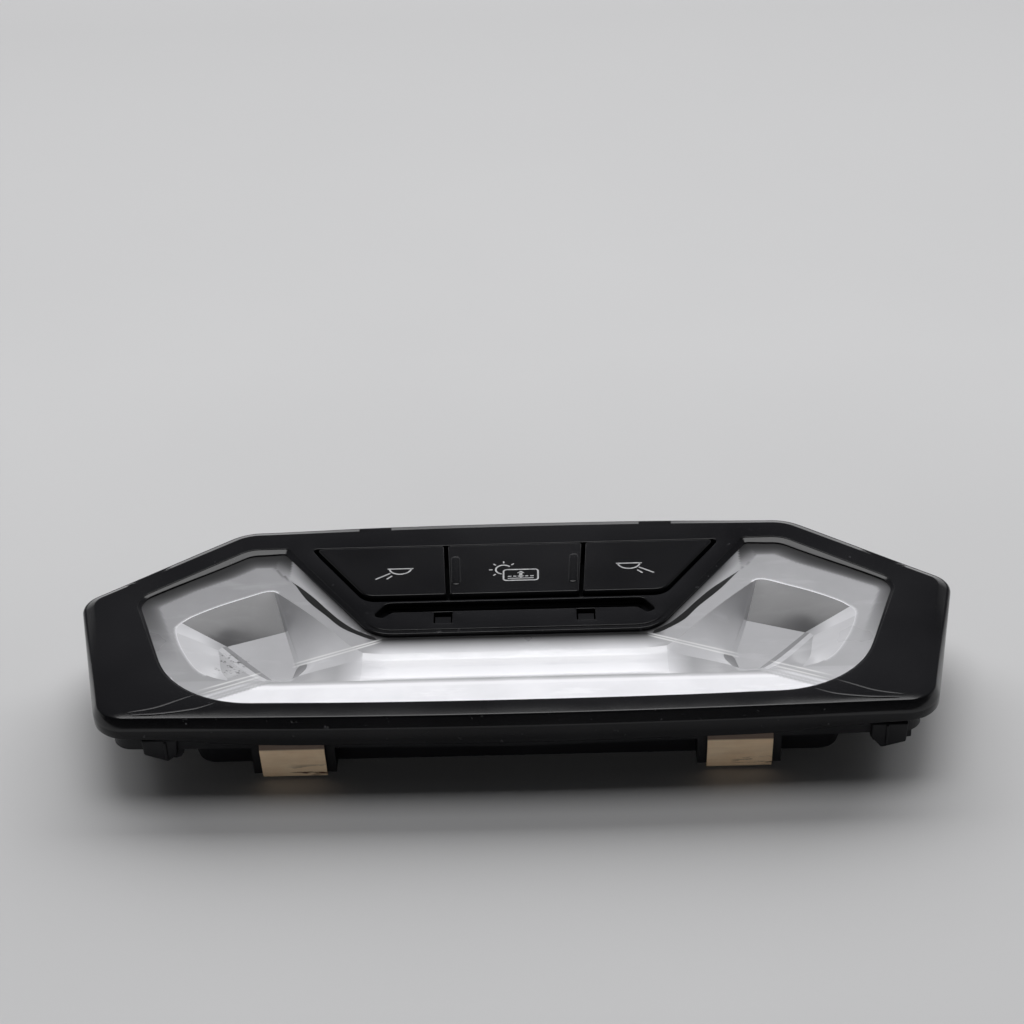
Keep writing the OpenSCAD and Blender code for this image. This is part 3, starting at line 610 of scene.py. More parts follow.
EDGE_STEPS = [(0, 0.0, 1.0), (12, 0.12, 0.86), (24, 0.26, 0.7), (36, 0.4, 0.54), (48, 0.53, 0.395),
              (60, 0.65, 0.27), (70, 0.78, 0.14), (80, 0.9, 0.035), (90, 1.0, 0.0)]
CHAMFER_STEPS = (0.08, 0.18, 0.3, 0.42, 0.55, 0.68, 0.8, 0.9, 0.97, 1.03, 1.1)
NOTCH_X, NOTCH_Y = (90.6, 98.6), 14              # flat places in the sloping sides' chamfer
APERTURE = whole([[0, LENS_NEAR, BOW], [80.5, LENS_NEAR + 1.6, 27], [96.2, 9.2, 6], [69.5, LOBE_FAR, 8],
                  [59.3, LOBE_FAR, 2.5], [34.5, PANEL_NEAR, 9]])
LEDGE = [0.0, 0.25, 0.6, 1.5, 1.2, 1.0]          # width of the ledge inside the aperture
LEDGE_SINK = [0.0, 0.0, 0.25, 0.5, 0.45, 0.03]   # and how far it falls
KEY_OPENING = whole([[37.65, OPENING_NEAR, 5.5], [53.4, OPENING_FAR, 1]])
SLOT = whole([[30.6, 0.75, 1.6], [32.9, -1.7, 0.8], [35.4, -0.4, 1.2], [32.2, 4.75, 2.4]])
SLOT_FLOOR = 18.9
GUIDE_LIP = [(-31.4, 1.4), (-30.6, 2.7), (-29.2, 3.3), (0, 3.3), (29.2, 3.3), (30.6, 2.7), (31.4, 1.4)]
# SNAP_FLOOR is the height of the snap windows' black floors, dark sheets that stand for shade.
SNAP_X, SNAP_Y, SNAP_FLOOR = (15.4, 20.1), (PANEL_NEAR + 2.7, 0.4), 18.2
FLUSH_PAD = [[41.4, 39.35, 0.3], [32.7, 39.55, 0.3], [32.7, 37.35, 0.3], [41.4, 37.15, 0.3]]
CREASES = [[(75.9, -30.6), (79.3, -32.4), (84.5, -35.1), (90.6, -36.7)],
           [(70.4, -33.7), (72.9, -35.0), (76.0, -36.1), (83.0, -37.3), (89.6, -37.6)]]


def rim_low(p):
    """Height of the rim's lower edge: level along the middle, rising towards the near corners."""
    x, y = np.abs(p[:, 0]), p[:, 1]
    near = np.interp(x, [0, 28, 54, 62, 68, 77, 86, 98, 106],
                     [12.6, 12.8, 12.85, 13.1, 13.5, 14.3, 14.95, 15.3, 15.2])
    side = np.clip((y + 34) / 20, 0, 1)
    return near * (1 - side) + 14.4 * side


def bead(skin, points, sign=1, base=FACE - 0.006, high=0.07, half=0.25):
    """A low bead along a path: its section is high (1 - t^2)^2 with t from -1 to 1 over its width,
    and both shrink towards its ends as the root of a sine."""
    path = curve(points, 0.5)[:, :2] * [sign, 1]
    ahead = np.gradient(path, axis=0)
    ahead /= np.linalg.norm(ahead, axis=1)[:, None]
    taper = np.sin(np.linspace(0.05, np.pi - 0.05, len(path))) ** 0.5
    across = np.linspace(-1, 1, 9)
    side = np.column_stack([-ahead[:, 1], ahead[:, 0]])
    xy = path[:, None] + half * across[None, :, None] * side[:, None] * taper[:, None, None]
    z = base + high * (1 - across ** 2) ** 2 * taper[:, None]
    grid = np.concatenate([xy, z[..., None]], axis=2).reshape(-1, 3)
    skin.add(grid, quads(len(path), len(across)))


def rim_rings():
    """Rings from inside the rim's lower edge up its wall, round the outer edge and over the
    chamfer to the crown, and the wear of each. At the angle a of EDGE_STEPS the outer edge is at
    ROLL_WIDE (1 - cos a), ROLL_TALL (1 - sin a), or at the step's own shares of them where SLANT
    is 1. At the share k of its width the chamfer is DROP (1 - k)^BEND below the crown."""
    pts, where = ring(RIM, *RIM_COUNTS)
    foot = [(WALL, 0.3), (WALL - 0.25, 0.0)] + [
        (FOOT_SOFT * (1 - math.sin(a)), FOOT_SOFT * (1 - math.cos(a))) for a in np.radians([0, 30, 60, 90])]
    rings = [lift(ring(inset(RIM, WALL), *RIM_COUNTS)[0], WALL_TOP)]
    rings += [lift(ring(inset(RIM, d), *RIM_COUNTS)[0], rim_low(pts) + rise) for d, rise in foot]
    wear = [0] * 3 + [0.3] * 4
    wide, tall, slant, fall, drop, bend = (
        along(where, values) for values in (ROLL_WIDE, ROLL_TALL, SLANT, FALL, DROP, BEND))
    inwards = ring(inset(RIM, 1.0), *RIM_COUNTS)[0] - pts
    for angle, run, sunk in EDGE_STEPS:
        a = math.radians(angle)
        run = slant * run + (1 - slant) * (1 - math.cos(a))
        sunk = slant * sunk + (1 - slant) * (1 - math.sin(a))
        rings.append(lift(pts + inwards * (wide * run)[:, None], FACE - drop - tall * sunk))
        wear.append(0.1 + 0.9 * math.sin(2 * a) ** 2)
    for k in CHAMFER_STEPS:
        p = pts + inwards * (wide + k * fall)[:, None]
        x = np.abs(p[:, 0])
        notch = (x > NOTCH_X[0]) & (x < NOTCH_X[1]) & (p[:, 1] > NOTCH_Y)
        rings.append(lift(p, FACE - drop * np.where(notch, k < 1, np.clip(1 - k, 0, 1) ** bend)))
        wear.append(0)
    return rings, wear


def aperture_rings():
    """Rings down into the lens opening: a quarter-round lip, a sloping ledge of LEDGE by
    LEDGE_SINK whose edge is rounded again, and an upright wall down past the lens's top."""
    edge, place = ring(APERTURE, 14, 16)
    step = ring(inset(APERTURE, 1.0), 14, 16)[0] - edge
    ledge = along(place, LEDGE + LEDGE[:0:-1])
    sink = along(place, LEDGE_SINK + LEDGE_SINK[:0:-1])
    steps = [(-0.35 + 0.22 * math.sin(a) + 0 * ledge, 0.22 * (1 - math.cos(a)))
             for a in np.radians([0, 25, 50, 75, 90])]
    steps += [(-0.10 + 0.45 * ledge, 0.235 + 0.5 * sink), (-0.06 + 0.9 * ledge, 0.25 + sink)]
    steps += [(ledge * 0.9 + 0.25 * math.sin(a) - 0.06, 0.25 + sink + 0.25 * (1 - math.cos(a)))
              for a in np.radians([30, 60, 90])]
    steps += [(ledge * 0.9 + 0.2, FACE - LENS_TOP + 1.2)]
    return [lift(edge + step * run[:, None], FACE - depth) for run, depth in steps]


def opening(skin, outline, radius, bottom, arcs, sides, floor=True):
    """A hole with a quarter-round lip and upright walls. Returns its ring on the crown."""
    levels = [lift(ring(inset(outline, -radius * (1 - math.sin(a))), arcs, sides)[0],
                   FACE - radius * (1 - math.cos(a))) for a in np.radians([0, 22, 45, 68, 90])]
    levels.append(lift(ring(outline, arcs, sides)[0], bottom))
    skin.loft(levels)
    if floor:
        skin.fill(levels[-1], (), bottom)
    return levels[0]


def bezel_skin():
    """The black frame: the rim's rings, and a flat crown filled round the lens aperture, the key
    opening, the light slot and the two snap windows, with beads for the creases and two pads."""
    skin = Skin()
    rings, wear = rim_rings()
    skin.loft(rings, wear)
    levels = aperture_rings()
    skin.loft(levels, [0.2] * len(levels))
    holes = [levels[0], opening(skin, KEY_OPENING, 0.3, 16.0, 10, 4, floor=False),
             opening(skin, SLOT, 0.2, SLOT_FLOOR, 8, 3)]
    bead(skin, GUIDE_LIP, 1, SLOT_FLOOR - 0.01, 1.2, 0.4)
    # The snap windows get black floors: dark sheets of the bezel's plastic that stand for the shade inside
    # them.
    for side in (1, -1):
        window = rectangle(*sorted(side * x for x in SNAP_X), *SNAP_Y, 0.25)
        holes.append(opening(skin, window, 0.15, SNAP_FLOOR, 3, 1))
    skin.fill(rings[-1], holes, FACE)
    for path in CREASES:
        bead(skin, path, 1)
        bead(skin, path[::-1], -1)
    top = FACE + 0.003
    levels = [lift(ring(FLUSH_PAD, 3, 2)[0], 18.6)] + rounded(FLUSH_PAD, 0.3, top, 3, 2)
    for pad in (levels, [mirror_ring(level) for level in levels]):
        skin.loft(pad)
        skin.fill(pad[-1], (), top)
    piece = skin.make("bezel_shell", GLOSS_BLACK, sharp=40)
    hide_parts("bezel")
    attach(piece, "root")


bezel_skin()


HOOK_BACK = 35.8  # as -y
# Outline in x and z, x of the rib and height of its foot, for the right and the left hook.
HOOKS = [([[83.9, 12.4, 0.3], [83.8, 8.5, 0.6], [86.4, 5.4, 0.8], [92.1, 7.0, 0.5], [92.4, 12.4, 0.3]],
          87.5, 6.4),
         ([[-88.6, 12.6, 0.3], [-88.3, 8.3, 0.5], [-82.9, 6.2, 0.6], [-80.6, 8.0, 0.6],
           [-80.0, 12.6, 0.3]], -83.0, 7.0)]


def corner_hooks():
    """The housing's two locating hooks under the near corners: plates with a bevelled front and a
    stiffening rib, drawn as outlines in x and z and carried along y."""
    skin = Skin()
    for plate, rib, low in HOOKS:
        bar = rectangle(rib - 0.35, rib + 0.35, low, 12.2, 0.2)
        for shape, front, soft in ((plate, 37.2, 0.35), (bar, 37.65, 0.2)):
            levels = [lift(ring(shape, 4, 2)[0], HOOK_BACK)] + rounded(shape, soft, front, 4, 2)
            skin.loft(levels)
            skin.fill(levels[-1], (), front)
    skin.points = [np.column_stack([p[:, 0], -p[:, 2], p[:, 1]]) for p in skin.points]
    piece = skin.make("corner_hooks", HOUSING_BLACK)
    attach(piece, "root")


corner_hooks()


# ---- lens
FLANGE = LENS_TOP - 0.55
BOWL_FLOOR = 14.4
TROUGH_FAR, TROUGH_NEAR, TROUGH_DEEP = -14.6, -25.1, 0.9
TROUGH_END = 37.0
AP_LINE = ring(APERTURE, 14, 2)[0]


def on_flange(*points):
    return curve([(x, y, FLANGE) for x, y in points])


# The right-hand bowl's rim, in runs that its facets share.
BOWL_FAR = on_flange((83.3, 0.3), (80.8, 2.95), (75.0, 6.95), (67.8, 10.8), (64.2, 12.65), (62.6, 13.05),
                     (61.5, 12.95))
BOWL_CORNER = on_flange((61.5, 12.95), (60.6, 12.35))
BOWL_IN = on_flange((60.6, 12.35), (56.7, 8.4), (50.8, 2.0), (45.0, -5.0), (40.6, -10.6), (37.0, -13.9))
BOWL_TIP = on_flange((84.1, -3.6), (84.35, -2.4), (84.1, -0.9), (83.3, 0.3))
BOWL_OUT = on_flange((84.1, -3.6), (83.1, -7.0), (81.0, -12.0), (77.3, -18.4), (73.4, -21.9), (69.2, -23.6))
BOWL_NEAR_A = on_flange((69.2, -23.6), (64.0, -24.2), (58.1, -24.5))
BOWL_NEAR_B = on_flange((58.1, -24.5), (53.5, -24.75))
BOWL_NEAR_C = on_flange((53.5, -24.75), (47.0, -24.95), (37.0, -25.1))
BOWL_RIM = joined(BOWL_NEAR_C[::-1], BOWL_NEAR_B[::-1], BOWL_NEAR_A[::-1], BOWL_OUT[::-1], BOWL_TIP,
                  BOWL_FAR, BOWL_CORNER, BOWL_IN)


def trough_line(x):
    """The section of the trough at x, from its far edge to its near edge: a shallow bow."""
    swell = 0.7 * np.clip((abs(x) - 30) / 7, 0, 1) ** 2
    far = TROUGH_FAR + swell
    t = np.cos(np.linspace(0, np.pi, 41))
    y = (far + TROUGH_NEAR) / 2 + (far - TROUGH_NEAR) / 2 * t
    flutes = 0.03 * (1 - np.cos(10 * np.pi * t)) * np.clip((TROUGH_END - 1 - abs(x)) / 4, 0, 1)
    z = FLANGE - (TROUGH_DEEP - flutes) * np.clip(1 - t * t, 0, 1)
    return t, np.column_stack([np.full(len(t), x), y, z])


def bowl_facets():
    """The right-hand bowl as facets that share their edges: each is an outline, a tone, the
    spacing of its points and what x and y add to the tone. The tones are painted light and shade.

    Rims lie on the flange, the window on the bowl's floor, and two narrow ledges lie between.
    """
    t, end = trough_line(TROUGH_END)
    end_far, end_near = end[t > 0.8], end[t <= t[t > 0.8].min()]
    v1, v2, v3 = (52.4, -19.8, 17.5), (57.4, 2.3, 15.0), (52.9, -12.2, 15.0)
    w1, w2, w3, w4, w5 = ((x, y, BOWL_FLOOR) for x, y in (
        (72.1, -3.0), (58.15, 2.55), (53.8, -13.0), (59.2, -17.3), (54.6, -17.6)))
    valley = curve([tuple(end_near[0]), (41.2, -16.6, 18.6), (47.0, -18.1, 18.0), (50.3, -19.1, 17.7), v1])
    throat = curve([v1, (51.0, -16.4, 17.0), (51.1, -13.4, 16.2), v3])
    side = curve([w1, (65.5, -10.5, BOWL_FLOOR), w4])
    upper = curve([(72.9, -5.3, 16.0), (67.5, -11.8, 16.0), (63.2, -16.5, 16.0), (60.2, -19.0, 16.0)])
    outer = curve([(73.6, -7.1, 16.4), (68.4, -13.4, 16.4), (64.4, -17.7, 16.4), (60.9, -20.2, 16.4)])
    bend = curve([(73.6, -7.1, 16.4), (72.9, -10.0, 17.0), (71.5, -17.0, 17.7), (69.2, -22.0, 18.8),
                  (69.2, -23.6, FLANGE)])
    even = lambda x, y: 0 * x
    # Each facet's tone is painted light and shade: dark greys for painted shade on walls turned from the
    # light, pale ones for painted highlights on walls turned to it.
    return [
        (joined(BOWL_FAR, w2, w1), 98, 1.0, even),  # far wall
        (joined(BOWL_TIP, w1, upper[0], outer[0]), 198, 0.8,  # its right end
         lambda x, y: -46 * np.clip((79 - x) / 7, 0, 1)),
        (joined(BOWL_CORNER, v2, w2), 170, 0.8, even),  # its left end
        (joined(BOWL_IN, end_far, valley, throat, v2), 178, 1.0,  # inner slope
         lambda x, y: -16 * np.clip((y + 2) / 12, -0.4, 1) + 12 * np.clip((41 - x) / 4, 0, 1)),
        (joined(v2, v3, w3, w2), 184, 0.6, even),  # its sill
        (joined(throat[::-1], v1, w5, w3), 128, 0.6, even),
        (joined(side[::-1], w2, w3, w5), 168, 1.0, even),  # window
        (joined(side, upper[::-1]), 122, 0.6, even),  # its two steps
        (joined(upper, outer[::-1]), 176, 0.6, even),
        (joined(outer, BOWL_NEAR_A[::-1], bend[::-1]), 158, 1.0, even),  # outer slope
        (joined(BOWL_OUT, bend[::-1]), 182, 1.0, even),
        (joined(w4, upper[-1], outer[-1], BOWL_NEAR_B, valley[-1], w5), 170, 1.0, even),
        (joined(valley[::-1], end_near, BOWL_NEAR_C[::-1]), 152, 1.0,  # fan to the trough
         lambda x, y: 52 * np.clip((43 - x) / 6, 0, 1)),
    ]


# Painted shade: the dark crescent beside the key panel. The left one bulges 1.5 mm more.
LEAF = joined(curve([(57.6, 17.5), (56.5, 16.3), (50.15, 10.0), (45.69, 4.5), (42.08, -0.4), (38.56, -4.5),
                     (34.3, -7.8)])[:-1],
              curve([(34.3, -7.8), (33.9, -8.8), (35.44, -8.5), (38.43, -6.45), (42.23, -3.1), (45.87, 2.0),
                     (51.92, 9.3), (57.6, 17.5)])[:-1])
LEFT_LEAF = mirror_ring(LEAF + np.column_stack([
    1.5 * np.sin(np.pi * np.clip((LEAF[:, 1] + 8.8) / 24, 0, 1)), 0 * LEAF[:, 1], 0 * LEAF[:, 1]]))


def bell(v, middle, width):
    return np.exp(-((v - middle) / width) ** 2)


def flange_height(x, y):
    """Flat, rising to the bezel over a parabola on its far half and along a slope at the near side."""
    ax = np.abs(x)
    cove = np.clip(1 - distance(np.column_stack([ax, y]), AP_LINE) / 4.5, 0, 1) ** 2
    far_side = np.clip((y + 14) / 14, 0, 1)
    near = np.clip((TROUGH_NEAR - y) / 9.5, 0, 1) * np.clip((86 - ax) / 12, 0, 1)
    return FLANGE + 0.5 * cove * far_side + 0.42 * near


def flange_tone(x, y):
    """Screen greys over the flange that paint its light and shade: painted shadow under the bezel's far
    edge, painted shade along the panel, and a pale near strip of painted reflection with painted highlights
    on its edges."""
    ax = np.abs(x)
    p = np.column_stack([ax, y])
    edge = distance(p, AP_LINE)
    tone = 156 - 0.2 * y + 0.10 * x

    # Painted shadow in the cove under the bezel's far and outer edges.
    outer = np.interp(y, [-16, -9, 6, 12], [0.0, 0.25, 0.8, 1.0]) * (ax > 58)
    shift = -1.5 * np.clip((y - 14) / 6, 0, 1) + 1.2 * (x > 0) * np.clip((14 - y) / 6, 0, 1) - 0.5 * (x < 0)
    deep = np.clip(edge + shift, 0, None)
    cove = 50 + 3.1 * deep ** 2 + 60 * np.clip(deep - 4.2, 0, None) ** 2
    tone = np.minimum(tone, cove * outer + tone * (1 - outer))

    # Painted shade beside the key panel and under its near edge, dark near the panel and paler away from
    # it.
    panel_side = np.interp(ax, [30, 34.8, 38.5, 43.2, 48.3, 54, 59.5, 62],
                           [-7.9, -7.6, -5.2, -0.6, 5.6, 13, 20, 23])
    beside_panel = (ax > 30) & (ax < 62) & (y > -11) & (y < 28) & (panel_side < y)
    ramp = 70 + 90 * np.clip((edge - 0.9) / 3.3, 0, 1) ** 0.8
    fade = np.interp(y, [18, 27], [1, 0])
    tone = np.where(beside_panel, ramp * fade + tone * (1 - fade), tone)
    below = 40 + 172 * np.clip((-9.1 - y) / 5.2, 0, 1) ** 0.55 + 37 * bell(y, -8.25, 0.25)
    middle = np.clip((37 - ax) / 5, 0, 1) * (y > -15.2)
    tone = tone * (1 - middle) + below * middle

    # Painted reflection on the near strip. Its slanted ends get painted highlights as two bright lines and
    # painted shade as a dark one, and its near edge gets a painted highlight.
    slant = ax - (58.0 + (-24.4 - y) * 1.95)
    strip = np.clip((-slant) / 1.2, 0, 1) * (y < -24.4)
    pale = 231 + 11 * np.clip((-33.2 - y) / 1.8, 0, 1) + 19 * bell(y, -27.05, 0.4) \
        - 71 * np.clip((y + 26.7) / 1.6, 0, 1)
    tone = tone * (1 - strip) + pale * strip
    lower = (y < -23.9) & (slant > 0) & (ax < 88)
    streak = 26 * bell(slant, 1.5, 0.7) + 40 * bell(slant, 4.6, 1.1) - 14 * bell(slant, 7.8, 1.3)
    tone = np.where(lower, tone + 10 + streak * np.clip((-23.9 - y) / 2, 0, 1), tone)
    tone = np.where((y < -20) & (edge < 0.75) & (ax < 86), 240, tone)

    # Light caught on the bowl's rim.
    bright = np.vstack([BOWL_TIP[-4:], BOWL_FAR, BOWL_CORNER])
    soft = np.vstack([BOWL_OUT[::-1][8:], BOWL_TIP])
    for line, level in ((bright, 250), (soft, 214)):
        tone = tone + (level - tone) * bell(distance(p, line, closed=False), 0, 0.38)
    return tone


def beside(loop, d):
    """Points a small way outside a closed outline, one for each of its own."""
    ahead = np.roll(loop[:, :2], -1, axis=0) - np.roll(loop[:, :2], 1, axis=0)
    ahead /= np.linalg.norm(ahead, axis=1)[:, None]
    return loop[:, :2] + d * np.column_stack([ahead[:, 1], -ahead[:, 0]])


def trough(skin, number):
    """Adds the fluted trough, its tones and its facet's number. Returns its far and near edges. The tones
    are a painted reflection, with painted shade towards its near wall.
    """
    end = np.linspace(30, TROUGH_END, 8)
    xs = np.concatenate([-end[::-1], np.linspace(-30, 30, 25)[1:-1], end])
    lines = [trough_line(x) for x in xs]
    t = lines[0][0]
    # Painted reflection and shade across the trough: bright over most of it, dimmer on its far side, dark
    # towards its near wall and along a faint line, 212 at its ends.
    across = 245 - 33 * np.clip(2 * t - 1, 0, 1) - 87 * np.clip((-0.6 - t) / 0.4, 0, 1) ** 1.3 \
        - 11 * bell(t, 0.17, 0.12)
    ends = np.repeat(np.clip((np.abs(xs) - 27) / 10, 0, 1) ** 1.5, len(t))
    tone = np.tile(across, len(xs)) * (1 - ends) + 212 * ends
    grid = np.vstack([line for _, line in lines])
    skin.add(grid, quads(len(xs), len(t))[:, [0, 3, 2, 1]], 0, tone, number)
    return np.array([line[0] for _, line in lines]), np.array([line[-1] for _, line in lines])


def lens_skin():
    """The lens: flange, two faceted bowls and the fluted trough between them."""
    skin = Skin()
    number = 0
    for loop, level, step, vary in bowl_facets():
        skin.facet(loop, number, step, level, vary)
        skin.facet(mirror_ring(loop), number + 1, step, level, lambda x, y: vary(-x, y))
        number += 2
    far_edge, near_edge = trough(skin, number)
    number += 1

    left_rim = mirror_ring(BOWL_RIM)
    recess = joined(near_edge[:-1], BOWL_RIM, far_edge[::-1][1:-1], left_rim)
    outer = ring(inset(APERTURE, -0.25), 14, 40)[0]
    leaves = [LEAF, LEFT_LEAF]
    points = np.vstack([dots(outer, 0.62, 0.25), beside(BOWL_RIM, 0.4), beside(left_rim, 0.4)])
    for hole in [recess] + leaves:
        points = points[~inside(points, hole)]
        points = points[distance(points, hole) > 0.2]
    skin.fill(outer, [recess] + leaves, flange_height, points, flange_tone, number)
    for leaf in leaves:
        number += 1
        # The crescents' tone is painted shade, a little lighter towards their far ends.
        skin.fill(leaf, (), flange_height, (), lambda x, y: 33 + 14 * np.clip((y - 8) / 9, 0, 1), number)
    piece = skin.make("lens_face", LENS, sharp=50)
    piece.visible_shadow = False
    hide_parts("lens")
    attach(piece, "root")


lens_skin()

# ---- keys
KEY_GAP = 1.0  # between the keys
SIDE_GAP = 0.85  # beside the key opening
KEY_W = 33.7  # the middle key's width half way up
LEAN = 0.055  # how its sides spread towards the far edge


def key_edge(y):
    return KEY_W / 2 + (y - KEY_MID) * LEAN


def middle_key():
    near, far = key_edge(KEY_NEAR), key_edge(KEY_FAR)
    return [[-near, KEY_NEAR, 0.8], [near, KEY_NEAR, 0.8], [far, KEY_FAR, 0.8], [-far, KEY_FAR, 0.8]]


def side_key():
    """The outer edge keeps SIDE_GAP from the key opening's sloping side."""
    (x0, y0), (x1, y1) = KEY_OPENING[0][:2], KEY_OPENING[1][:2]
    rate = (x1 - x0) / (y1 - y0)
    outer = lambda y: x0 + rate * (y - y0) - SIDE_GAP * math.hypot(1, rate)
    return [[key_edge(KEY_NEAR) + KEY_GAP, KEY_NEAR, 0.8], [outer(KEY_NEAR), KEY_NEAR, 4.5],
            [outer(KEY_FAR), KEY_FAR, 0.8], [key_edge(KEY_FAR) + KEY_GAP, KEY_FAR, 0.8]]


def key_skin(name, outline, node, body, flip=False):
    """A key: upright sides, a quarter-circle edge and a faintly dished face."""
    skin = Skin()
    rings = [lift(ring(outline, 8, 8)[0], KEY_BASE)]
    rings += rounded(outline, 0.45, KEY_TOP, 8, 8, (0, 20, 40, 60, 80, 90))
    rings += [lift(ring(inset(outline, d), 8, 8)[0], KEY_TOP - dish)
              for d, dish in ((1.2, 0.01), (3.0, 0.06))]
    if flip:
        rings = [mirror_ring(points) for points in rings]
    skin.loft(rings)
    skin.fill(rings[-1], (), KEY_TOP - 0.06)
    piece = skin.make(name, KEY_BLACK, sharp=35)
    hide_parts(node)
    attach(piece, body)


key_skin("middle_key_cap", middle_key(), "centre_button", "blind_rocker")
key_skin("right_key_cap", side_key(), "right_reading_button", "right_key")
key_skin("left_key_cap", side_key(), "left_reading_button", "left_key", flip=True)


def finger_ribs():
    """Two raised ribs on the rocker: half-round bars with round ends, leaning with the key's edges."""
    skin = Skin()
    t = np.linspace(-1, 1, 40)
    a = np.linspace(0, np.pi, 17)
    run = 6.5 * t
    wide = 1.2 * np.sqrt(np.clip(1 - np.abs(t) ** 14, 0, 1))
    tall = 0.33 * np.sqrt(np.clip(1 - np.abs(t) ** 10, 0, 1))
    for side in (1, -1):
        px = (side * (15.05 + 0.04 * run))[:, None] + wide[:, None] * np.cos(a)
        py = np.repeat(17.35 + run[:, None], len(a), axis=1)
        pz = KEY_TOP - 0.05 + tall[:, None] * np.sqrt(np.clip(1 - np.abs(np.cos(a)) ** 3, 0, 1))
        grid = np.stack([px, py, pz], axis=-1).reshape(-1, 3)
        skin.add(grid, quads(len(t), len(a))[:, ::-1])
    piece = skin.make("finger_ribs", KEY_BLACK, sharp=60)
    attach(piece, "blind_rocker")


finger_ribs()


# ---- symbols
INK_TOP = KEY_TOP - 0.03  # 0.03 above the dished face


def stroke(skin, points, width=0.42, closed=False):
    """A flat line of even width along a path, mitred at its bends."""
    p = np.array(points, float)
    ahead = np.roll(p, -1, axis=0) - p
    if not closed:
        ahead[-1] = ahead[-2]
    ahead /= np.linalg.norm(ahead, axis=1)[:, None]
    back = np.roll(ahead, 1, axis=0)
    if not closed:
        back[0] = ahead[0]
    n1, n2 = (np.column_stack([-v[:, 1], v[:, 0]]) for v in (ahead, back))
    n = (n1 + n2) / (1 + (n1 * n2).sum(1))[:, None] * width / 2
    left, right = lift(p + n, INK_TOP), lift(p - n, INK_TOP)
    k = np.arange(len(p) if closed else len(p) - 1)
    m = len(p)
    skin.add(np.vstack([left, right]), np.column_stack([k + m, (k + 1) % m + m, (k + 1) % m, k]))


def arc(cx, cy, rx, ry, a0, a1):
    a = np.radians(np.linspace(a0, a1, 24))
    return np.column_stack([cx + rx * np.cos(a), cy + ry * np.sin(a)])


def lamp_symbol(name, side, body):
    """Reading lamp: a line with a shallow bowl under it, and two rays."""
    skin = Skin()
    cx, cy = 29.3 * side, 18.9
    stroke(skin, [(cx - 3.3, cy), (cx + 3.3, cy)])
    stroke(skin, arc(cx, cy, 2.75, 2.4, 180, 360))
    for (x0, y0), (x1, y1) in (((2.5, 1.9), (6.2, 4.5)), ((2.0, 3.1), (3.3, 4.5))):
        stroke(skin, [(cx + x0 * side, cy - y0), (cx + x1 * side, cy - y1)])
    piece = skin.make(name, INK, sharp=80)
    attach(piece, body)


def blind_symbol():
    """Roof blind: a rounded frame with a two-way arrow between dashes, and a sun behind its corner."""
    skin = Skin()
    stroke(skin, ring(rectangle(-2.8, 6.0, 12.5, 17.3, 0.8), 6, 2)[0], closed=True)
    for x0, x1 in ((-1.7, -0.8), (-0.3, 0.5), (2.7, 3.5), (4.0, 4.9)):
        stroke(skin, [(x0, 14.3), (x1, 14.3)], 0.36)
    stroke(skin, [(-1.7, 13.4), (4.9, 13.4)], 0.3)
    stroke(skin, [(1.6, 14.2), (1.6, 16.0)], 0.8)
    for s in (1, -1):
        tip = 15.1 + s * 1.55
        skin.add(lift(np.array([[1.6, tip], [0.65, tip - s * 0.95], [2.55, tip - s * 0.95]]), INK_TOP),
                 [(0, 1, 2) if s > 0 else (0, 2, 1)])
    stroke(skin, arc(-2.8, 17.4, 2.0, 2.0, 38, 258))
    for a in (180, 225, 135, 90, 45):
        c, s = math.cos(math.radians(a)), math.sin(math.radians(a))
        stroke(skin, [(-2.8 + 2.8 * c, 17.4 + 2.8 * s), (-2.8 + 3.7 * c, 17.4 + 3.7 * s)], 0.38)
    piece = skin.make("blind_symbol", INK, sharp=80)
    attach(piece, "blind_rocker")


lamp_symbol("left_lamp_symbol", -1, "left_key")
lamp_symbol("right_lamp_symbol", 1, "right_key")
blind_symbol()


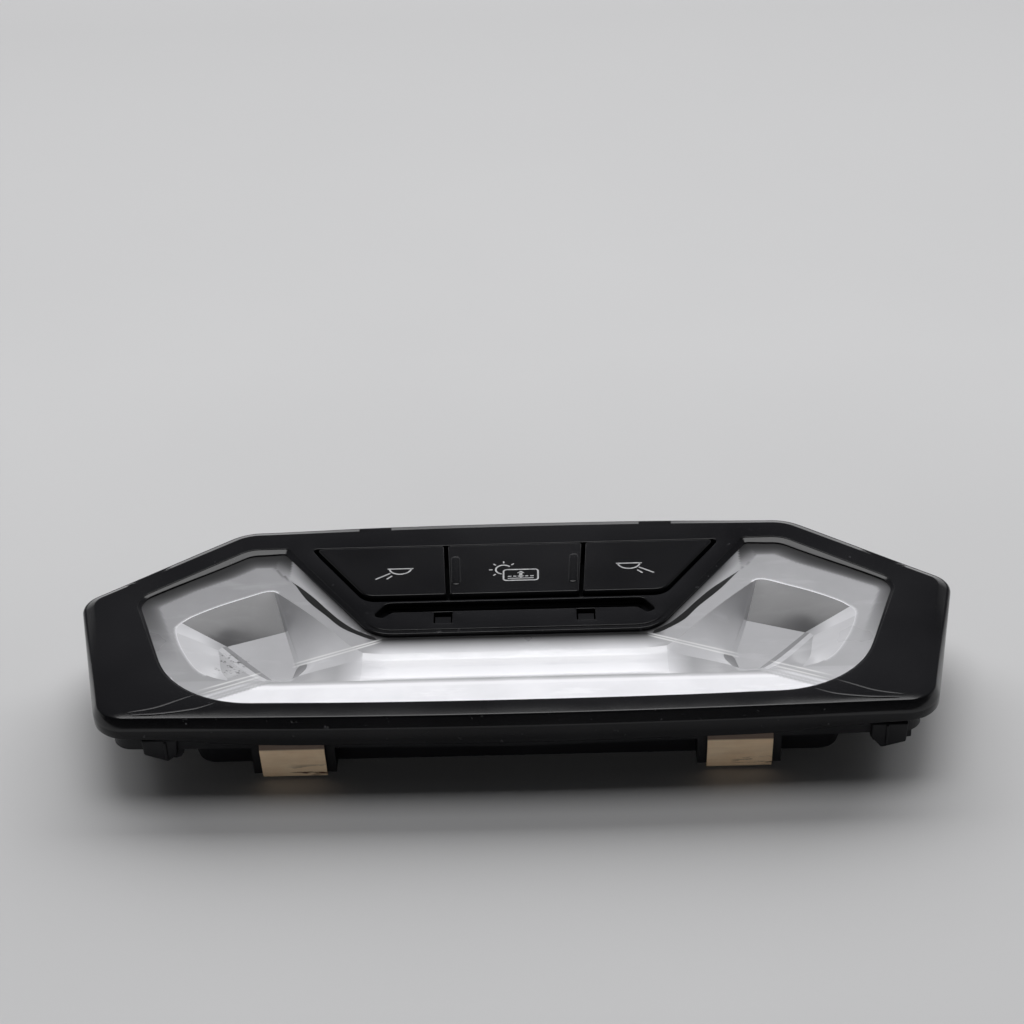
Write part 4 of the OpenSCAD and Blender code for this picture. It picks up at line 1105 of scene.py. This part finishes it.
# ---- floor and light
def bench():
    """A pale bench, far larger than the view, with painted shade: it darkens from 0.17 m to 0.5 m behind
    the lamp.
    """
    material, main = shader("bench_surface", (0.56, 0.56, 0.565), 0.55, spec=0.25)
    net = Net(material)
    even = net.mix(net.ramp(net.noise(6, 3), 0.3, 0.7), (0.55, 0.55, 0.556), (0.57, 0.57, 0.576))
    # Painted shade: the bench darkens further back, from 0.17 m to 0.5 m behind the lamp.
    tint = net.mix(net.ramp(net.axes()[1], 0.17, 0.5), even, (0.46, 0.46, 0.465))
    net.link(tint, main.inputs["Base Color"])
    y, x = np.meshgrid(*[np.linspace(-4, 4, 17)] * 2, indexing="ij")
    grid = np.stack([x, y, 0 * x], axis=-1).reshape(-1, 3)
    mesh = bpy.data.meshes.new("bench")
    mesh.from_pydata(grid.tolist(), [], quads(17, 17)[:, [0, 3, 2, 1]].tolist())
    mesh.polygons.foreach_set("use_smooth", np.ones(len(mesh.polygons), bool))
    mesh.materials.append(material)
    obj = bpy.data.objects.new("bench", mesh)
    bpy.context.scene.collection.objects.link(obj)


def soft_light(name, at, to, size, watts, glossy=True):
    """An area light. With glossy off it isn't mirrored in glossy surfaces."""
    data = bpy.data.lights.new(name, "AREA")
    data.shape = "RECTANGLE"
    data.size, data.size_y = size
    data.energy = watts
    obj = bpy.data.objects.new(name, data)
    at, to = Vector(at), Vector(to)
    obj.matrix_world = Matrix.Translation(at) @ (at - to).to_track_quat("Z", "Y").to_matrix().to_4x4()
    obj.visible_glossy = glossy
    bpy.context.scene.collection.objects.link(obj)


def world():
    """The room: pale low down behind the lamp, dim higher up, in front of it and at its sides."""
    sky = bpy.data.worlds.new("room")
    sky.use_nodes = True
    net = Net(sky, "Generated")
    x, y, z = net.axes()
    height = net.node("ShaderNodeValToRGB", {0: z})
    bands = height.color_ramp.elements
    bands[0].position, bands[0].color = 0.12, (0.8, 0.8, 0.81, 1)
    bands[1].position, bands[1].color = 0.36, (0.085, 0.085, 0.09, 1)
    behind = net.ramp(y, -0.3, 0.2, 0.06, 1.0)
    middle = net.ramp(net.math("ABSOLUTE", x), 0.0, 0.2, 1.28, 0.66)
    back = net.tree.nodes["Background"]
    net.link(height.outputs[0], back.inputs["Color"])
    net.link(net.times(behind, middle), back.inputs["Strength"])
    bpy.context.scene.world = sky


bench()
soft_light("ceiling_strip", (0.0, 0.36, 1.2), (0, 0, 0), (1.0, 0.55), 5)
soft_light("back_wall_glow", (0.04, 2.2, 1.5), (0, 0, 0), (5.6, 1.7), 139, glossy=False)
soft_light("front_fill", (-0.3, -1.8, 0.24), (0, 0, 0.02), (3.0, 0.3), 4.5, glossy=False)
world()

bpy.context.scene.view_settings.view_transform = "Standard"
